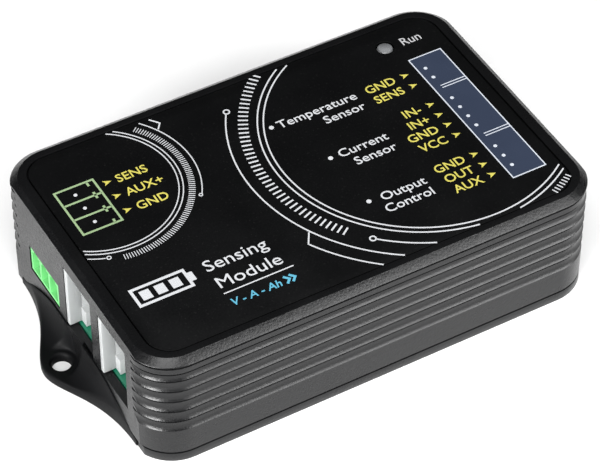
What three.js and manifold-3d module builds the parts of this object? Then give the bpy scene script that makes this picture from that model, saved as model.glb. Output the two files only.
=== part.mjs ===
// Battery monitor module: a flat two-part plastic case with mounting ears,
// a printed top label, and a circuit board with connectors at both ends.
// Millimetres, +Z up. The origin is the centre of the case's underside.
// +X runs along the case, away from the power header and the bus sockets.
import * as THREE from 'three';
import { mergeVertices } from 'three/addons/utils/BufferGeometryUtils.js';
import Module from 'manifold-3d';

const wasm = await Module();
wasm.setup();

// ---- driving dimensions -------------------------------------------------

const LENGTH = 83.4; // case without its ears
const WIDTH = 54;
const HEIGHT = 22.7;
const CORNER_R = 7.5;
const CORNER_STEPS = 10; // facets in each rounded vertical corner
const WALL = 1.9;
const CLEARANCE = 0.3; // between neighbouring pieces
const EPS = 0.5; // how far a cutter runs past the face that it cuts

const END_INSET = 0.4; // flat end panel, behind the ribbed corners
const END_X = LENGTH / 2 - END_INSET;
const END_WALL = 1.5;
const CAVITY_X = END_X - END_WALL;

const RIM_INSET = 1.4; // chamfer round the top face
const RIM_HEIGHT = 1.5;
const BAND_INSET = 0.15; // plain band under the chamfer
const RIB_DEPTH = 0.35;
const RIB_PITCH = 2.32;
const RIB_FLARE = 1.07; // hollow lower part of each rib, which flares out to its edge
const FLARE_ANGLE = 2 * Math.atan(RIB_DEPTH / RIB_FLARE);
const FLARE_STEPS = 3;
const RIB_COUNT = 6;
const FIRST_RIB_TOP = HEIGHT - 2.7;
const FIRST_RIB_FOOT = HEIGHT - 4.1;
const CAVITY_Y = WIDTH / 2 - RIB_DEPTH - WALL;
const CAVITY_R = 5.2;

const BASE_THICKNESS = 1.7;
const COVER_FOOT = BASE_THICKNESS + CLEARANCE;
const TOP_WALL = 1.6; // under the label's recess

const LABEL_LENGTH = 76.8;
const LABEL_WIDTH = 48.4;
const LABEL_R = 4.2;
const LABEL_THICKNESS = 0.4;
const LABEL_RECESS = 0.8;
const LABEL_SUNK = 0.1; // label's face below the case's top face
const CEILING_Z = HEIGHT - LABEL_RECESS - TOP_WALL;

const EAR_REACH = 6.1; // beyond the end panel
const EAR_ROOT_Y = 20.5; // where the ear's outline meets the end panel
const EAR_WAIST_Y = 8.5; // pulls of the bell curve, at the panel and at the tip
const EAR_TIP_Y = 4.5;
const EAR_HOLE_X = END_X + 2.9;
const EAR_HOLE_R = 1.65;
const EAR_SEAT_R = 3; // flat round seat for the fixing screw's head
const RAMP_TOP = 6.6;
const RAMP_RUN = 3.6; // how far the concave ramp runs out on the ear
const RAMP_FLAT_Y = 9; // half width over which the ramp keeps its full height

const BOARD_TOP = 6.5;
const BOARD_THICKNESS = 1.6;
const BOARD_X = CAVITY_X - CLEARANCE;
const BOARD_Y = CAVITY_Y - CLEARANCE - 0.1;
const PART_FOOT = BOARD_TOP + CLEARANCE; // underside of what stands on the board
const LEAD_FOOT = 2.9; // lower end of every lead through the board

const SCREW_X = 22;
const SCREW_Y = 20.5;
const SCREW_R = 1.3;
const SCREW_HEAD_R = 2.6;
const SCREW_HEAD_HEIGHT = 1.8;
const SCREW_TIP = 15.5;
const BOSS_R = 3.3;

const POWER_Y = 10.9;
const POWER_PITCH = 3.5;
const POWER_WAYS = 3;
const SOCKET_PITCH = 11.95;
const SOCKET_Y = [-1.6, -1.6 - SOCKET_PITCH];
const SOCKET_WIDTH = 9;
const SOCKET_HEIGHT = 12.5;
const SOCKET_DEPTH = 13;
const SOCKET_TOP = PART_FOOT + SOCKET_HEIGHT;
const SOCKET_WALL = 0.8;
const CONTACTS = 4;
const CONTACT_PITCH = 1.02;
const CONTACT_WIRE = 0.4;

const SIGNAL_PITCH = 2.54;
const SIGNAL_HEIGHT = 6.6;
const SIGNAL_DEPTH = 11.5;
const SIGNAL_WALL = 0.9;
const SIGNAL_SIDE = 2.4; // housing beyond the outer pins, both sides together
const SIGNAL_HEADERS = [
  { name: 'temperature_header', ways: 2, y: 10.5 },
  { name: 'current_header', ways: 4, y: -0.46 },
  { name: 'output_header', ways: 3, y: -12.58 },
];

const LIGHT_X = 28.1;
const LIGHT_Y = 19.7;
const LIGHT_R = 1.4;

// ---- materials ----------------------------------------------------------

const finish = (color, roughness, metalness = 0) => ({ color, roughness, metalness });
const FINISHES = {
  blackPlastic: finish(0x232426, 0.55),
  labelBlack: finish(0x101113, 0.4),
  greenPlastic: finish(0x4fae5c, 0.45),
  whitePlastic: finish(0xe6e5e0, 0.5),
  boardGreen: finish(0x0e5a3c, 0.45),
  chipBlack: finish(0x18181a, 0.6),
  opticClear: finish(0xb9bec2, 0.2),
  ledBody: finish(0xd8dccb, 0.35),
  tin: finish(0xb8bbc0, 0.35, 1),
  gold: finish(0xd8b35a, 0.3, 1),
  steel: finish(0x8d9095, 0.35, 1),
  can: finish(0xc4c7cb, 0.3, 1),
  ferrite: finish(0x3a3a3d, 0.7),
  fuseCeramic: finish(0xcfc9b4, 0.6),
};

// ---- solids -------------------------------------------------------------

function solid(geometry) {
  geometry.deleteAttribute('normal');
  geometry.deleteAttribute('uv');
  const merged = mergeVertices(geometry, 1e-4);
  const index = merged.index.array;
  const triangles = [];
  for (let i = 0; i < index.length; i += 3) {
    const [a, b, c] = index.slice(i, i + 3);
    if (a !== b && b !== c && c !== a) triangles.push(a, b, c);
  }
  return new wasm.Manifold(new wasm.Mesh({
    numProp: 3,
    vertProperties: Float32Array.from(merged.attributes.position.array),
    triVerts: Uint32Array.from(triangles),
  }));
}

function toGeometry(body) {
  const mesh = body.getMesh();
  const geometry = new THREE.BufferGeometry();
  geometry.setAttribute('position', new THREE.BufferAttribute(mesh.vertProperties, 3));
  geometry.setIndex(new THREE.BufferAttribute(mesh.triVerts, 1));
  geometry.computeVertexNormals();
  return geometry;
}

function block(x0, x1, y0, y1, z0, z1) {
  const geometry = new THREE.BoxGeometry(x1 - x0, y1 - y0, z1 - z0);
  return solid(geometry.translate((x0 + x1) / 2, (y0 + y1) / 2, (z0 + z1) / 2));
}

// A round bar standing at (x, y), with an optional second radius at its top.
function post(x, y, z0, z1, radius, topRadius = radius, steps = 32) {
  const geometry = new THREE.CylinderGeometry(topRadius, radius, z1 - z0, steps);
  return solid(geometry.rotateX(Math.PI / 2).translate(x, y, (z0 + z1) / 2));
}

function roundedRect(halfX, halfY, radius, path = new THREE.Shape()) {
  path.moveTo(halfX - radius, -halfY);
  path.absarc(halfX - radius, -halfY + radius, radius, -Math.PI / 2, 0);
  path.absarc(halfX - radius, halfY - radius, radius, 0, Math.PI / 2);
  path.absarc(-halfX + radius, halfY - radius, radius, Math.PI / 2, Math.PI);
  path.absarc(-halfX + radius, -halfY + radius, radius, Math.PI, Math.PI * 1.5);
  return path;
}

function roundHole(x, y, radius) {
  return new THREE.Path().absarc(x, y, radius, 0, Math.PI * 2, true);
}

function slab(shape, z0, z1, curveSegments = CORNER_STEPS) {
  const options = { depth: z1 - z0, bevelEnabled: false, curveSegments };
  return solid(new THREE.ExtrudeGeometry(shape, options).translate(0, 0, z0));
}

// An outline in X and Z, given a thickness along Y.
function sideSlab(shape, y0, y1, curveSegments = 8) {
  const options = { depth: y1 - y0, bevelEnabled: false, curveSegments };
  const geometry = new THREE.ExtrudeGeometry(shape, options);
  return solid(geometry.rotateX(Math.PI / 2).translate(0, y1, 0));
}

// An outline in Y and Z, given a thickness along X.
function endSlab(shape, x0, x1, curveSegments = 12) {
  const options = { depth: x1 - x0, bevelEnabled: false, curveSegments };
  const geometry = new THREE.ExtrudeGeometry(shape, options);
  return solid(geometry.rotateX(Math.PI / 2).rotateZ(Math.PI / 2).translate(x0, 0, 0));
}

function polygon(points) {
  return new THREE.Shape(points.map(([x, y]) => new THREE.Vector2(x, y)));
}

// A turned profile whose four quarters are pulled apart into a rounded
// rectangle. The profile holds [inset from the outer wall, height].
function roundedCase(profile, halfX, halfY, radius) {
  const steps = CORNER_STEPS * 4;
  const halfStep = Math.PI / steps;
  const reach = 1 / Math.cos(halfStep);
  const points = profile.map(([inset, z]) => new THREE.Vector2((radius - inset) * reach, z));
  const low = new THREE.Vector2(0, profile[0][1]);
  const high = new THREE.Vector2(0, profile[profile.length - 1][1]);
  const geometry = new THREE.LatheGeometry([low, ...points, high], steps, halfStep);
  geometry.rotateX(Math.PI / 2);
  const place = geometry.attributes.position;
  for (let i = 0; i < place.count; i += 1) {
    const x = place.getX(i);
    const y = place.getY(i);
    if (Math.hypot(x, y) > 1e-6) {
      place.setX(i, x + Math.sign(x) * (halfX - radius));
      place.setY(i, y + Math.sign(y) * (halfY - radius));
    }
  }
  return solid(geometry);
}

const mirrorX = (body) => body.mirror([1, 0, 0]);
const allOf = (bodies) => bodies.reduce((sum, body) => sum.add(body));
const cut = (body, cutters) => cutters.reduce((rest, cutter) => rest.subtract(cutter), body);
const fourCorners = (x, y) => [[x, y], [x, -y], [-x, y], [-x, -y]];

// ---- case ---------------------------------------------------------------

// One rib from its outer edge at foot: a hollow flare, then an upright wall up to top.
function ribSteps(foot, top) {
  const radius = RIB_FLARE / Math.sin(FLARE_ANGLE);
  const points = [];
  for (let step = 0; step <= FLARE_STEPS; step += 1) {
    const angle = FLARE_ANGLE * (1 - step / FLARE_STEPS);
    points.push([
      RIB_DEPTH - radius * (1 - Math.cos(angle)), foot + RIB_FLARE - radius * Math.sin(angle),
    ]);
  }
  points.push([RIB_DEPTH, top]);
  return points;
}
function ribbedProfile() {
  const profile = [[0, COVER_FOOT]];
  for (let rib = RIB_COUNT - 1; rib > 0; rib -= 1) {
    const top = FIRST_RIB_FOOT - (rib - 1) * RIB_PITCH;
    profile.push(...ribSteps(top - RIB_PITCH, top));
  }
  profile.push(...ribSteps(FIRST_RIB_FOOT, FIRST_RIB_TOP));
  profile.push([BAND_INSET, FIRST_RIB_TOP]);
  profile.push([BAND_INSET, HEIGHT - RIM_HEIGHT]);
  profile.push([0, HEIGHT - RIM_HEIGHT]);
  profile.push([RIM_INSET, HEIGHT]);
  return profile;
}

const SOCKET_WINDOW = { halfWidth: SOCKET_WIDTH / 2 + 0.2, low: RAMP_TOP };
const POWER_WINDOW = { halfWidth: 5.3, low: 7.4, high: 12.9 };

function endWindows() {
  const inner = CAVITY_X - EPS;
  const outer = LENGTH / 2 + EPS;
  const windows = SOCKET_Y.map((y) => block(
    -outer, -inner,
    y - SOCKET_WINDOW.halfWidth, y + SOCKET_WINDOW.halfWidth,
    SOCKET_WINDOW.low, SOCKET_TOP + 0.2,
  ));
  windows.push(block(
    -outer, -inner,
    POWER_Y - POWER_WINDOW.halfWidth, POWER_Y + POWER_WINDOW.halfWidth,
    POWER_WINDOW.low, POWER_WINDOW.high,
  ));
  for (const header of SIGNAL_HEADERS) {
    const half = signalHalfWidth(header) + CLEARANCE;
    windows.push(block(
      inner, outer, header.y - half, header.y + half,
      PART_FOOT - CLEARANCE, PART_FOOT + SIGNAL_HEIGHT + CLEARANCE,
    ));
  }
  return windows;
}

function upperCover() {
  const shell = roundedCase(ribbedProfile(), LENGTH / 2, WIDTH / 2, CORNER_R);
  const hollow = [[0, COVER_FOOT - EPS], [0, CEILING_Z]];
  const recess = roundedRect(
    LABEL_LENGTH / 2 + CLEARANCE, LABEL_WIDTH / 2 + CLEARANCE, LABEL_R + CLEARANCE,
  );
  const beyond = LENGTH / 2 + EPS;
  const panel = block(END_X, beyond, -WIDTH, WIDTH, 0, HEIGHT + EPS);
  const body = cut(shell, [
    roundedCase(hollow, CAVITY_X, CAVITY_Y, CAVITY_R),
    slab(recess, HEIGHT - LABEL_RECESS, HEIGHT + EPS),
    panel,
    mirrorX(panel),
    post(LIGHT_X, LIGHT_Y, CEILING_Z - EPS, HEIGHT, LIGHT_R + CLEARANCE),
    ...endWindows(),
  ]);
  const corners = fourCorners(SCREW_X, SCREW_Y);
  const bosses = corners.map(([x, y]) => post(x, y, PART_FOOT, CEILING_Z + EPS, BOSS_R));
  const pilots = corners.map(([x, y]) => post(
    x, y, PART_FOOT - EPS, SCREW_TIP + CLEARANCE, SCREW_R + CLEARANCE,
  ));
  return cut(allOf([body, ...bosses]), pilots);
}

// Bell-shaped outline of one ear, from the end panel out to the rounded tip.
function earOutline() {
  const tip = END_X + EAR_REACH;
  const root = END_X - EPS;
  const shape = new THREE.Shape();
  shape.moveTo(root, -EAR_ROOT_Y);
  shape.lineTo(END_X, -EAR_ROOT_Y);
  shape.bezierCurveTo(END_X, -EAR_WAIST_Y, tip, -EAR_TIP_Y, tip, 0);
  shape.bezierCurveTo(tip, EAR_TIP_Y, END_X, EAR_WAIST_Y, END_X, EAR_ROOT_Y);
  shape.lineTo(root, EAR_ROOT_Y);
  return shape;
}

// The concave ramp that joins the ear to the foot of the end panel.
function earRamp() {
  const start = END_X + CLEARANCE;
  const hidden = BASE_THICKNESS - EPS;
  const side = new THREE.Shape();
  side.moveTo(start, hidden);
  side.lineTo(start + RAMP_RUN, hidden);
  side.lineTo(start + RAMP_RUN, BASE_THICKNESS);
  side.absellipse(
    start + RAMP_RUN, RAMP_TOP, RAMP_RUN, RAMP_TOP - BASE_THICKNESS,
    -Math.PI / 2, -Math.PI, true,
  );
  const fall = EAR_ROOT_Y - RAMP_FLAT_Y;
  const arch = new THREE.Shape();
  arch.moveTo(-EAR_ROOT_Y, hidden);
  arch.lineTo(EAR_ROOT_Y, hidden);
  arch.lineTo(EAR_ROOT_Y, BASE_THICKNESS);
  arch.absellipse(RAMP_FLAT_Y, BASE_THICKNESS, fall, RAMP_TOP - BASE_THICKNESS, 0, Math.PI / 2);
  arch.absellipse(
    -RAMP_FLAT_Y, BASE_THICKNESS, fall, RAMP_TOP - BASE_THICKNESS, Math.PI / 2, Math.PI,
  );
  return slab(earOutline(), hidden, RAMP_TOP, 20)
    .intersect(sideSlab(side, -EAR_ROOT_Y, EAR_ROOT_Y, 10))
    .intersect(endSlab(arch, start - EPS, start + RAMP_RUN + EPS));
}

function ear() {
  const chamfer = 0.4;
  const flat = slab(earOutline(), 0, BASE_THICKNESS, 20);
  return cut(flat.add(earRamp()), [
    post(EAR_HOLE_X, 0, BASE_THICKNESS, RAMP_TOP + EPS, EAR_SEAT_R),
    post(EAR_HOLE_X, 0, -EPS, BASE_THICKNESS + EPS, EAR_HOLE_R),
    post(
      EAR_HOLE_X, 0, BASE_THICKNESS - chamfer, BASE_THICKNESS,
      EAR_HOLE_R, EAR_HOLE_R + chamfer,
    ),
  ]);
}

function basePlate() {
  const seatTop = SCREW_HEAD_HEIGHT + 0.1 + CLEARANCE;
  const outline = roundedRect(LENGTH / 2, WIDTH / 2, CORNER_R);
  const plate = slab(outline, 0, BASE_THICKNESS)
    .intersect(block(-END_X, END_X, -WIDTH, WIDTH, -EPS, HEIGHT));
  const lipX = CAVITY_X - CLEARANCE;
  const lipY = CAVITY_Y - CLEARANCE;
  const lipWall = 1.2;
  const lip = roundedRect(lipX, lipY, CAVITY_R - CLEARANCE);
  lip.holes.push(roundedRect(
    lipX - lipWall, lipY - lipWall, CAVITY_R - CLEARANCE - lipWall, new THREE.Path(),
  ));
  const corners = fourCorners(SCREW_X, SCREW_Y);
  const posts = corners.map(([x, y]) => post(
    x, y, BASE_THICKNESS - EPS, BOARD_TOP - BOARD_THICKNESS - CLEARANCE, BOSS_R,
  ));
  const seats = corners.map(([x, y]) => post(x, y, -EPS, seatTop, SCREW_HEAD_R + CLEARANCE));
  const shanks = corners.map(([x, y]) => post(x, y, -EPS, BOARD_TOP, SCREW_R + CLEARANCE));
  const whole = allOf([
    plate, ear(), mirrorX(ear()), slab(lip, BASE_THICKNESS - EPS, 4.2), ...posts,
  ]);
  return cut(whole, [...seats, ...shanks]);
}

function topLabel() {
  const shape = roundedRect(LABEL_LENGTH / 2, LABEL_WIDTH / 2, LABEL_R);
  shape.holes.push(roundHole(LIGHT_X, LIGHT_Y, LIGHT_R + CLEARANCE));
  const top = HEIGHT - LABEL_SUNK;
  return slab(shape, top - LABEL_THICKNESS, top);
}

function caseScrew([x, y]) {
  const foot = 0.1;
  const recessDepth = 1;
  const arm = 1.7;
  const slot = 0.4;
  const head = post(x, y, foot, foot + SCREW_HEAD_HEIGHT, SCREW_HEAD_R);
  const shank = post(x, y, foot + SCREW_HEAD_HEIGHT - EPS, SCREW_TIP - 1, SCREW_R, SCREW_R, 20);
  const tip = post(x, y, SCREW_TIP - 1, SCREW_TIP, SCREW_R, 0.3, 20);
  return cut(allOf([head, shank, tip]), [
    block(x - arm, x + arm, y - slot, y + slot, -EPS, foot + recessDepth),
    block(x - slot, x + slot, y - arm, y + arm, -EPS, foot + recessDepth),
  ]);
}

function lightPipe() {
  const flangeR = 2.4;
  const foot = PART_FOOT + 1.4;
  const flangeTop = CEILING_Z - 0.7;
  const flangeFoot = flangeTop - 1;
  const top = HEIGHT - LABEL_SUNK;
  const profile = [
    [0, foot], [LIGHT_R, foot], [LIGHT_R, flangeFoot], [flangeR, flangeFoot],
    [flangeR, flangeTop], [LIGHT_R, flangeTop], [LIGHT_R, top - 0.3],
    [LIGHT_R - 0.3, top - 0.1], [0, top],
  ];
  const points = profile.map(([r, z]) => new THREE.Vector2(r, z));
  const geometry = new THREE.LatheGeometry(points, 28).rotateX(Math.PI / 2);
  return solid(geometry.translate(LIGHT_X, LIGHT_Y, 0));
}

// ---- circuit board ------------------------------------------------------

const powerPinY = (way) => POWER_Y + (1 - way) * POWER_PITCH;
const POWER_LEG_X = -END_X + 8.2;
const POWER_PIN = 1;

const signalHalfWidth = (header) => ((header.ways - 1) * SIGNAL_PITCH + SIGNAL_SIDE * 2) / 2;
const signalPinY = (header, way) => header.y + ((header.ways - 1) / 2 - way) * SIGNAL_PITCH;
const SIGNAL_LEG_X = END_X - SIGNAL_DEPTH - 0.2;
const SIGNAL_PIN = 0.64;

const contactY = (y, way) => y + ((CONTACTS - 1) / 2 - way) * CONTACT_PITCH;
const contactLegX = (way) => -END_X + 9.2 + (way % 2) * 2.1;

function circuitBoard() {
  const shape = roundedRect(BOARD_X, BOARD_Y, CAVITY_R - CLEARANCE);
  for (const [x, y] of fourCorners(SCREW_X, SCREW_Y)) {
    shape.holes.push(roundHole(x, y, SCREW_R + CLEARANCE));
  }
  for (let way = 0; way < POWER_WAYS; way += 1) {
    shape.holes.push(roundHole(POWER_LEG_X, powerPinY(way), POWER_PIN / 2 + 0.5));
  }
  for (const y of SOCKET_Y) {
    for (let way = 0; way < CONTACTS; way += 1) {
      shape.holes.push(roundHole(contactLegX(way), contactY(y, way), 0.6));
    }
  }
  for (const header of SIGNAL_HEADERS) {
    for (let way = 0; way < header.ways; way += 1) {
      shape.holes.push(roundHole(SIGNAL_LEG_X, signalPinY(header, way), 0.75));
    }
  }
  return slab(shape, BOARD_TOP - BOARD_THICKNESS, BOARD_TOP, 6);
}

// ---- power header -------------------------------------------------------

const POWER_FACE_X = -END_X + 0.1;
const POWER_BACK_X = -END_X + 9.6;
const POWER_TOP = 13.9;
const POWER_MID_Z = (POWER_WINDOW.low + POWER_WINDOW.high) / 2;

function powerHousing() {
  const noseHalf = POWER_WINDOW.halfWidth - 0.25;
  const bodyHalf = 5.7;
  const wall = 0.6;
  const divider = 0.6;
  const shoulderX = -CAVITY_X + CLEARANCE;
  const floorX = POWER_BACK_X - 3.2;
  const low = POWER_WINDOW.low + 0.25;
  const high = POWER_WINDOW.high - 0.25;
  const cellWidth = (2 * (noseHalf - wall) - (POWER_WAYS - 1) * divider) / POWER_WAYS;
  const nose = block(
    POWER_FACE_X, shoulderX + EPS, POWER_Y - noseHalf, POWER_Y + noseHalf, low, high,
  );
  const body = block(
    shoulderX, POWER_BACK_X, POWER_Y - bodyHalf, POWER_Y + bodyHalf, PART_FOOT, POWER_TOP,
  );
  const cutters = [];
  for (let way = 0; way < POWER_WAYS; way += 1) {
    const right = POWER_Y - noseHalf + wall + way * (cellWidth + divider);
    const middle = right + cellWidth / 2;
    cutters.push(block(
      POWER_FACE_X - EPS, floorX, right, right + cellWidth, low + wall, high - wall,
    ));
    cutters.push(block(
      POWER_FACE_X - EPS, POWER_FACE_X + 1.4, middle - 0.7, middle + 0.7,
      high - wall - EPS, high + EPS,
    ));
    const slotHalf = POWER_PIN / 2 + CLEARANCE;
    cutters.push(block(
      floorX - EPS, POWER_LEG_X + slotHalf, powerPinY(way) - slotHalf, powerPinY(way) + slotHalf,
      PART_FOOT - EPS, POWER_MID_Z + slotHalf,
    ));
  }
  return cut(nose.add(body), cutters);
}

// A bent pin: a bar towards the plug, and a leg down through the board.
function bentPin(tipX, legX, y, z, size) {
  const half = size / 2;
  const away = Math.sign(legX - tipX);
  const outline = polygon([
    [tipX, z - half], [legX - away * half, z - half], [legX - away * half, LEAD_FOOT],
    [legX + away * half, LEAD_FOOT], [legX + away * half, z + half], [tipX, z + half],
  ]);
  return sideSlab(outline, y - half, y + half);
}

// ---- bus sockets --------------------------------------------------------

const SOCKET_FACE_X = -END_X + 0.45;
const SOCKET_BACK_X = SOCKET_FACE_X + SOCKET_DEPTH;
const PLUG_FLOOR_Z = 10;
const PLUG_CEILING_Z = SOCKET_TOP - 0.9;
const KEYWAY_HALF = 2.1;
const SHOULDER_X = -BOARD_X + 0.1;
const GROOVE_X = SOCKET_FACE_X + 0.8; // catches the plug's side ribs
const PARTITION_X = -END_X + 7.4;

function socketHousing(y) {
  const half = SOCKET_WIDTH / 2;
  const inner = half - SOCKET_WALL;
  const chamberHalf = (CONTACTS * CONTACT_PITCH) / 2 + 0.2;
  const body = block(SOCKET_FACE_X, SOCKET_BACK_X, y - half, y + half, PART_FOOT, SOCKET_TOP);
  return cut(body, [
    block(
      SOCKET_FACE_X - EPS, PARTITION_X, y - inner, y + inner, PLUG_FLOOR_Z, PLUG_CEILING_Z,
    ),
    block(
      SOCKET_FACE_X - EPS, SHOULDER_X, y - inner, y + inner, PART_FOOT - EPS, PLUG_CEILING_Z,
    ),
    block(
      SOCKET_FACE_X - EPS, PARTITION_X - 1, y - KEYWAY_HALF, y + KEYWAY_HALF,
      PART_FOOT - EPS, PLUG_FLOOR_Z + EPS,
    ),
    block(
      GROOVE_X, GROOVE_X + 1, y - half + 0.4, y + half - 0.4, PART_FOOT - EPS, PLUG_CEILING_Z,
    ),
    block(
      PARTITION_X + 0.7, SOCKET_BACK_X - 0.9, y - chamberHalf, y + chamberHalf,
      PART_FOOT - EPS, PLUG_CEILING_Z,
    ),
    block(
      PARTITION_X - EPS, PARTITION_X + 1, y - chamberHalf, y + chamberHalf,
      PLUG_CEILING_Z - 1.4, PLUG_CEILING_Z,
    ),
  ]);
}

function socketContact(y, way) {
  const legX = contactLegX(way);
  const wire = CONTACT_WIRE;
  const top = PLUG_CEILING_Z - 0.4;
  const tipX = SOCKET_FACE_X + 3;
  const outline = polygon([
    [legX, LEAD_FOOT], [legX + wire, LEAD_FOOT], [legX + wire, top],
    [PARTITION_X - 0.4, top], [tipX, top - 1], [tipX, top - 1 - wire],
    [PARTITION_X - 0.4, top - wire], [legX, top - wire],
  ]);
  const middle = contactY(y, way);
  return sideSlab(outline, middle - wire / 2, middle + wire / 2).translate([-wire / 2, 0, 0]);
}

// ---- signal headers -----------------------------------------------------

const SIGNAL_MID_Z = PART_FOOT + SIGNAL_HEIGHT / 2;

function signalHousing(header) {
  const half = signalHalfWidth(header);
  const backX = END_X - SIGNAL_DEPTH + 1.6;
  const floorX = backX + 2.2;
  const top = PART_FOOT + SIGNAL_HEIGHT;
  const face = END_X - 0.1;
  const key = 1.2;
  const cutters = [block(
    floorX, face + EPS, header.y - half + SIGNAL_WALL, header.y + half - SIGNAL_WALL,
    PART_FOOT + SIGNAL_WALL, top - SIGNAL_WALL,
  )];
  for (const side of [-1, 1]) {
    const middle = header.y + side * (half - 2.4);
    cutters.push(block(
      face - 5, face + EPS, middle - key / 2, middle + key / 2, top - SIGNAL_WALL - EPS, top + EPS,
    ));
  }
  for (let way = 0; way < header.ways; way += 1) {
    const reach = SIGNAL_PIN / 2 + CLEARANCE;
    const y = signalPinY(header, way);
    cutters.push(block(
      backX - EPS, floorX + EPS, y - reach, y + reach, SIGNAL_MID_Z - reach, SIGNAL_MID_Z + reach,
    ));
  }
  const body = block(backX, face, header.y - half, header.y + half, PART_FOOT, top);
  return cut(body, cutters);
}

// ---- parts on the board -------------------------------------------------

// A moulded chip with gull-wing leads; sides is 2 or 4.
function chip({ x, y, length, width, height, pins, pitch, sides = 2 }) {
  const lead = 0.9;
  const leadWidth = pitch * 0.45;
  const body = block(
    x - length / 2, x + length / 2, y - width / 2, y + width / 2,
    PART_FOOT + 0.1, PART_FOOT + height,
  );
  const leads = [];
  for (let i = 0; i < pins; i += 1) {
    const along = (i - (pins - 1) / 2) * pitch;
    leads.push(block(
      x + along - leadWidth / 2, x + along + leadWidth / 2,
      y - width / 2 - lead, y + width / 2 + lead, PART_FOOT, PART_FOOT + 0.4,
    ));
    if (sides === 4) {
      leads.push(block(
        x - length / 2 - lead, x + length / 2 + lead,
        y + along - leadWidth / 2, y + along + leadWidth / 2, PART_FOOT, PART_FOOT + 0.4,
      ));
    }
  }
  return allOf([body, ...leads]);
}

// An aluminium can on a square foot with two cut corners.
function canCapacitor({ x, y, radius, height }) {
  const foot = 1.2;
  const half = radius + 0.3;
  const cutCorner = 1.2;
  const base = slab(polygon([
    [x - half, y - half], [x + half - cutCorner, y - half], [x + half, y - half + cutCorner],
    [x + half, y + half - cutCorner], [x + half - cutCorner, y + half], [x - half, y + half],
  ]), PART_FOOT, PART_FOOT + foot);
  const neck = PART_FOOT + foot;
  const top = PART_FOOT + height;
  const profile = [
    [0, neck - EPS], [radius, neck - EPS], [radius, neck + 0.6], [radius - 0.4, neck + 1.1],
    [radius, neck + 1.6], [radius, top - 0.5], [radius - 0.5, top], [0, top],
  ];
  const points = profile.map(([r, z]) => new THREE.Vector2(r, z));
  const can = new THREE.LatheGeometry(points, 28).rotateX(Math.PI / 2).translate(x, y, 0);
  return base.add(solid(can));
}

function inductor({ x, y, size, height }) {
  const shape = roundedRect(size / 2, size / 2, 1.5);
  const body = slab(shape, PART_FOOT, PART_FOOT + height, 5);
  const dome = post(0, 0, PART_FOOT + height - EPS, PART_FOOT + height + 0.4, size * 0.38);
  return body.add(dome).translate([x, y, 0]);
}

function crystal({ x, y, length, width, height }) {
  const flange = slab(roundedRect(length / 2 + 0.4, width / 2 + 0.4, width / 2), PART_FOOT,
    PART_FOOT + 0.5, 8);
  const can = slab(roundedRect(length / 2, width / 2, width / 2 - 0.05), PART_FOOT + 0.2,
    PART_FOOT + height, 8);
  return flange.add(can).translate([x, y, 0]);
}

// A power transistor lying on its metal tab.
function tabTransistor({ x, y }) {
  const tab = block(x - 2.7, x + 2.7, y - 4.6, y + 2, PART_FOOT, PART_FOOT + 0.5);
  const body = block(x - 3.3, x + 3.3, y - 3.1, y + 3, PART_FOOT + 0.2, PART_FOOT + 2.3);
  const leads = [-2.3, 2.3].map((dx) => block(
    x + dx - 0.4, x + dx + 0.4, y + 2.5, y + 5.4, PART_FOOT, PART_FOOT + 0.6,
  ));
  return allOf([tab, body, ...leads]);
}

// A block with a metal cap at each end, for fuses, diodes and small parts.
function endCapped({ x, y, length, width, height }) {
  const cap = 0.5;
  const low = PART_FOOT + 0.15;
  const body = block(
    x - length / 2, x + length / 2, y - width / 2, y + width / 2, low, PART_FOOT + height,
  );
  const caps = [-1, 1].map((side) => block(
    x + side * (length / 2 + cap / 2) - cap, x + side * (length / 2 + cap / 2) + cap,
    y - width * 0.36, y + width * 0.36, PART_FOOT, PART_FOOT + height * 0.6,
  ));
  return allOf([body, ...caps]);
}

const BOARD_PARTS = [
  ['microcontroller', 'chipBlack', chip,
    { x: 0, y: -3, length: 10, width: 10, height: 1.5, pins: 11, pitch: 0.8, sides: 4 }],
  ['measuring_converter', 'chipBlack', chip,
    { x: 16, y: -3, length: 6.5, width: 4.4, height: 1.3, pins: 8, pitch: 0.65 }],
  ['current_sense_amplifier', 'chipBlack', chip,
    { x: 24, y: -1, length: 5, width: 4, height: 1.6, pins: 4, pitch: 1.27 }],
  ['bus_transceiver', 'chipBlack', chip,
    { x: -20, y: -7, length: 5, width: 4, height: 1.6, pins: 4, pitch: 1.27 }],
  ['signal_isolator', 'chipBlack', chip,
    { x: -12, y: -12, length: 10.2, width: 7.4, height: 2.4, pins: 8, pitch: 1.27 }],
  ['buck_regulator', 'chipBlack', chip,
    { x: -10, y: 6, length: 5, width: 4, height: 1.6, pins: 4, pitch: 1.27 }],
  ['low_voltage_regulator', 'chipBlack', chip,
    { x: 14, y: 8, length: 6.5, width: 3.5, height: 1.7, pins: 3, pitch: 2.3 }],
  ['output_transistor', 'chipBlack', tabTransistor, { x: 22, y: -11 }],
  ['buck_inductor', 'ferrite', inductor, { x: -19, y: 4, size: 8, height: 4.2 }],
  ['input_capacitor', 'can', canCapacitor, { x: -10, y: 15.5, radius: 4, height: 10 }],
  ['output_capacitor', 'can', canCapacitor, { x: 2, y: 14, radius: 3.15, height: 7.7 }],
  ['clock_crystal', 'can', crystal, { x: 0, y: -15, length: 11, width: 4.4, height: 3.5 }],
  ['input_fuse', 'fuseCeramic', endCapped,
    { x: -24, y: 13, length: 5, width: 3, height: 1.8 }],
  ['reverse_polarity_diode', 'chipBlack', endCapped,
    { x: -22, y: -14, length: 6, width: 5, height: 2.3 }],
  ['surge_suppressor', 'chipBlack', endCapped,
    { x: 12, y: 16, length: 4.4, width: 2.6, height: 2.2 }],
  ['status_led', 'ledBody', endCapped,
    { x: LIGHT_X, y: LIGHT_Y, length: 1.4, width: 1.3, height: 0.9 }],
];

// ---- assembly -----------------------------------------------------------

const module_ = new THREE.Group();

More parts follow.
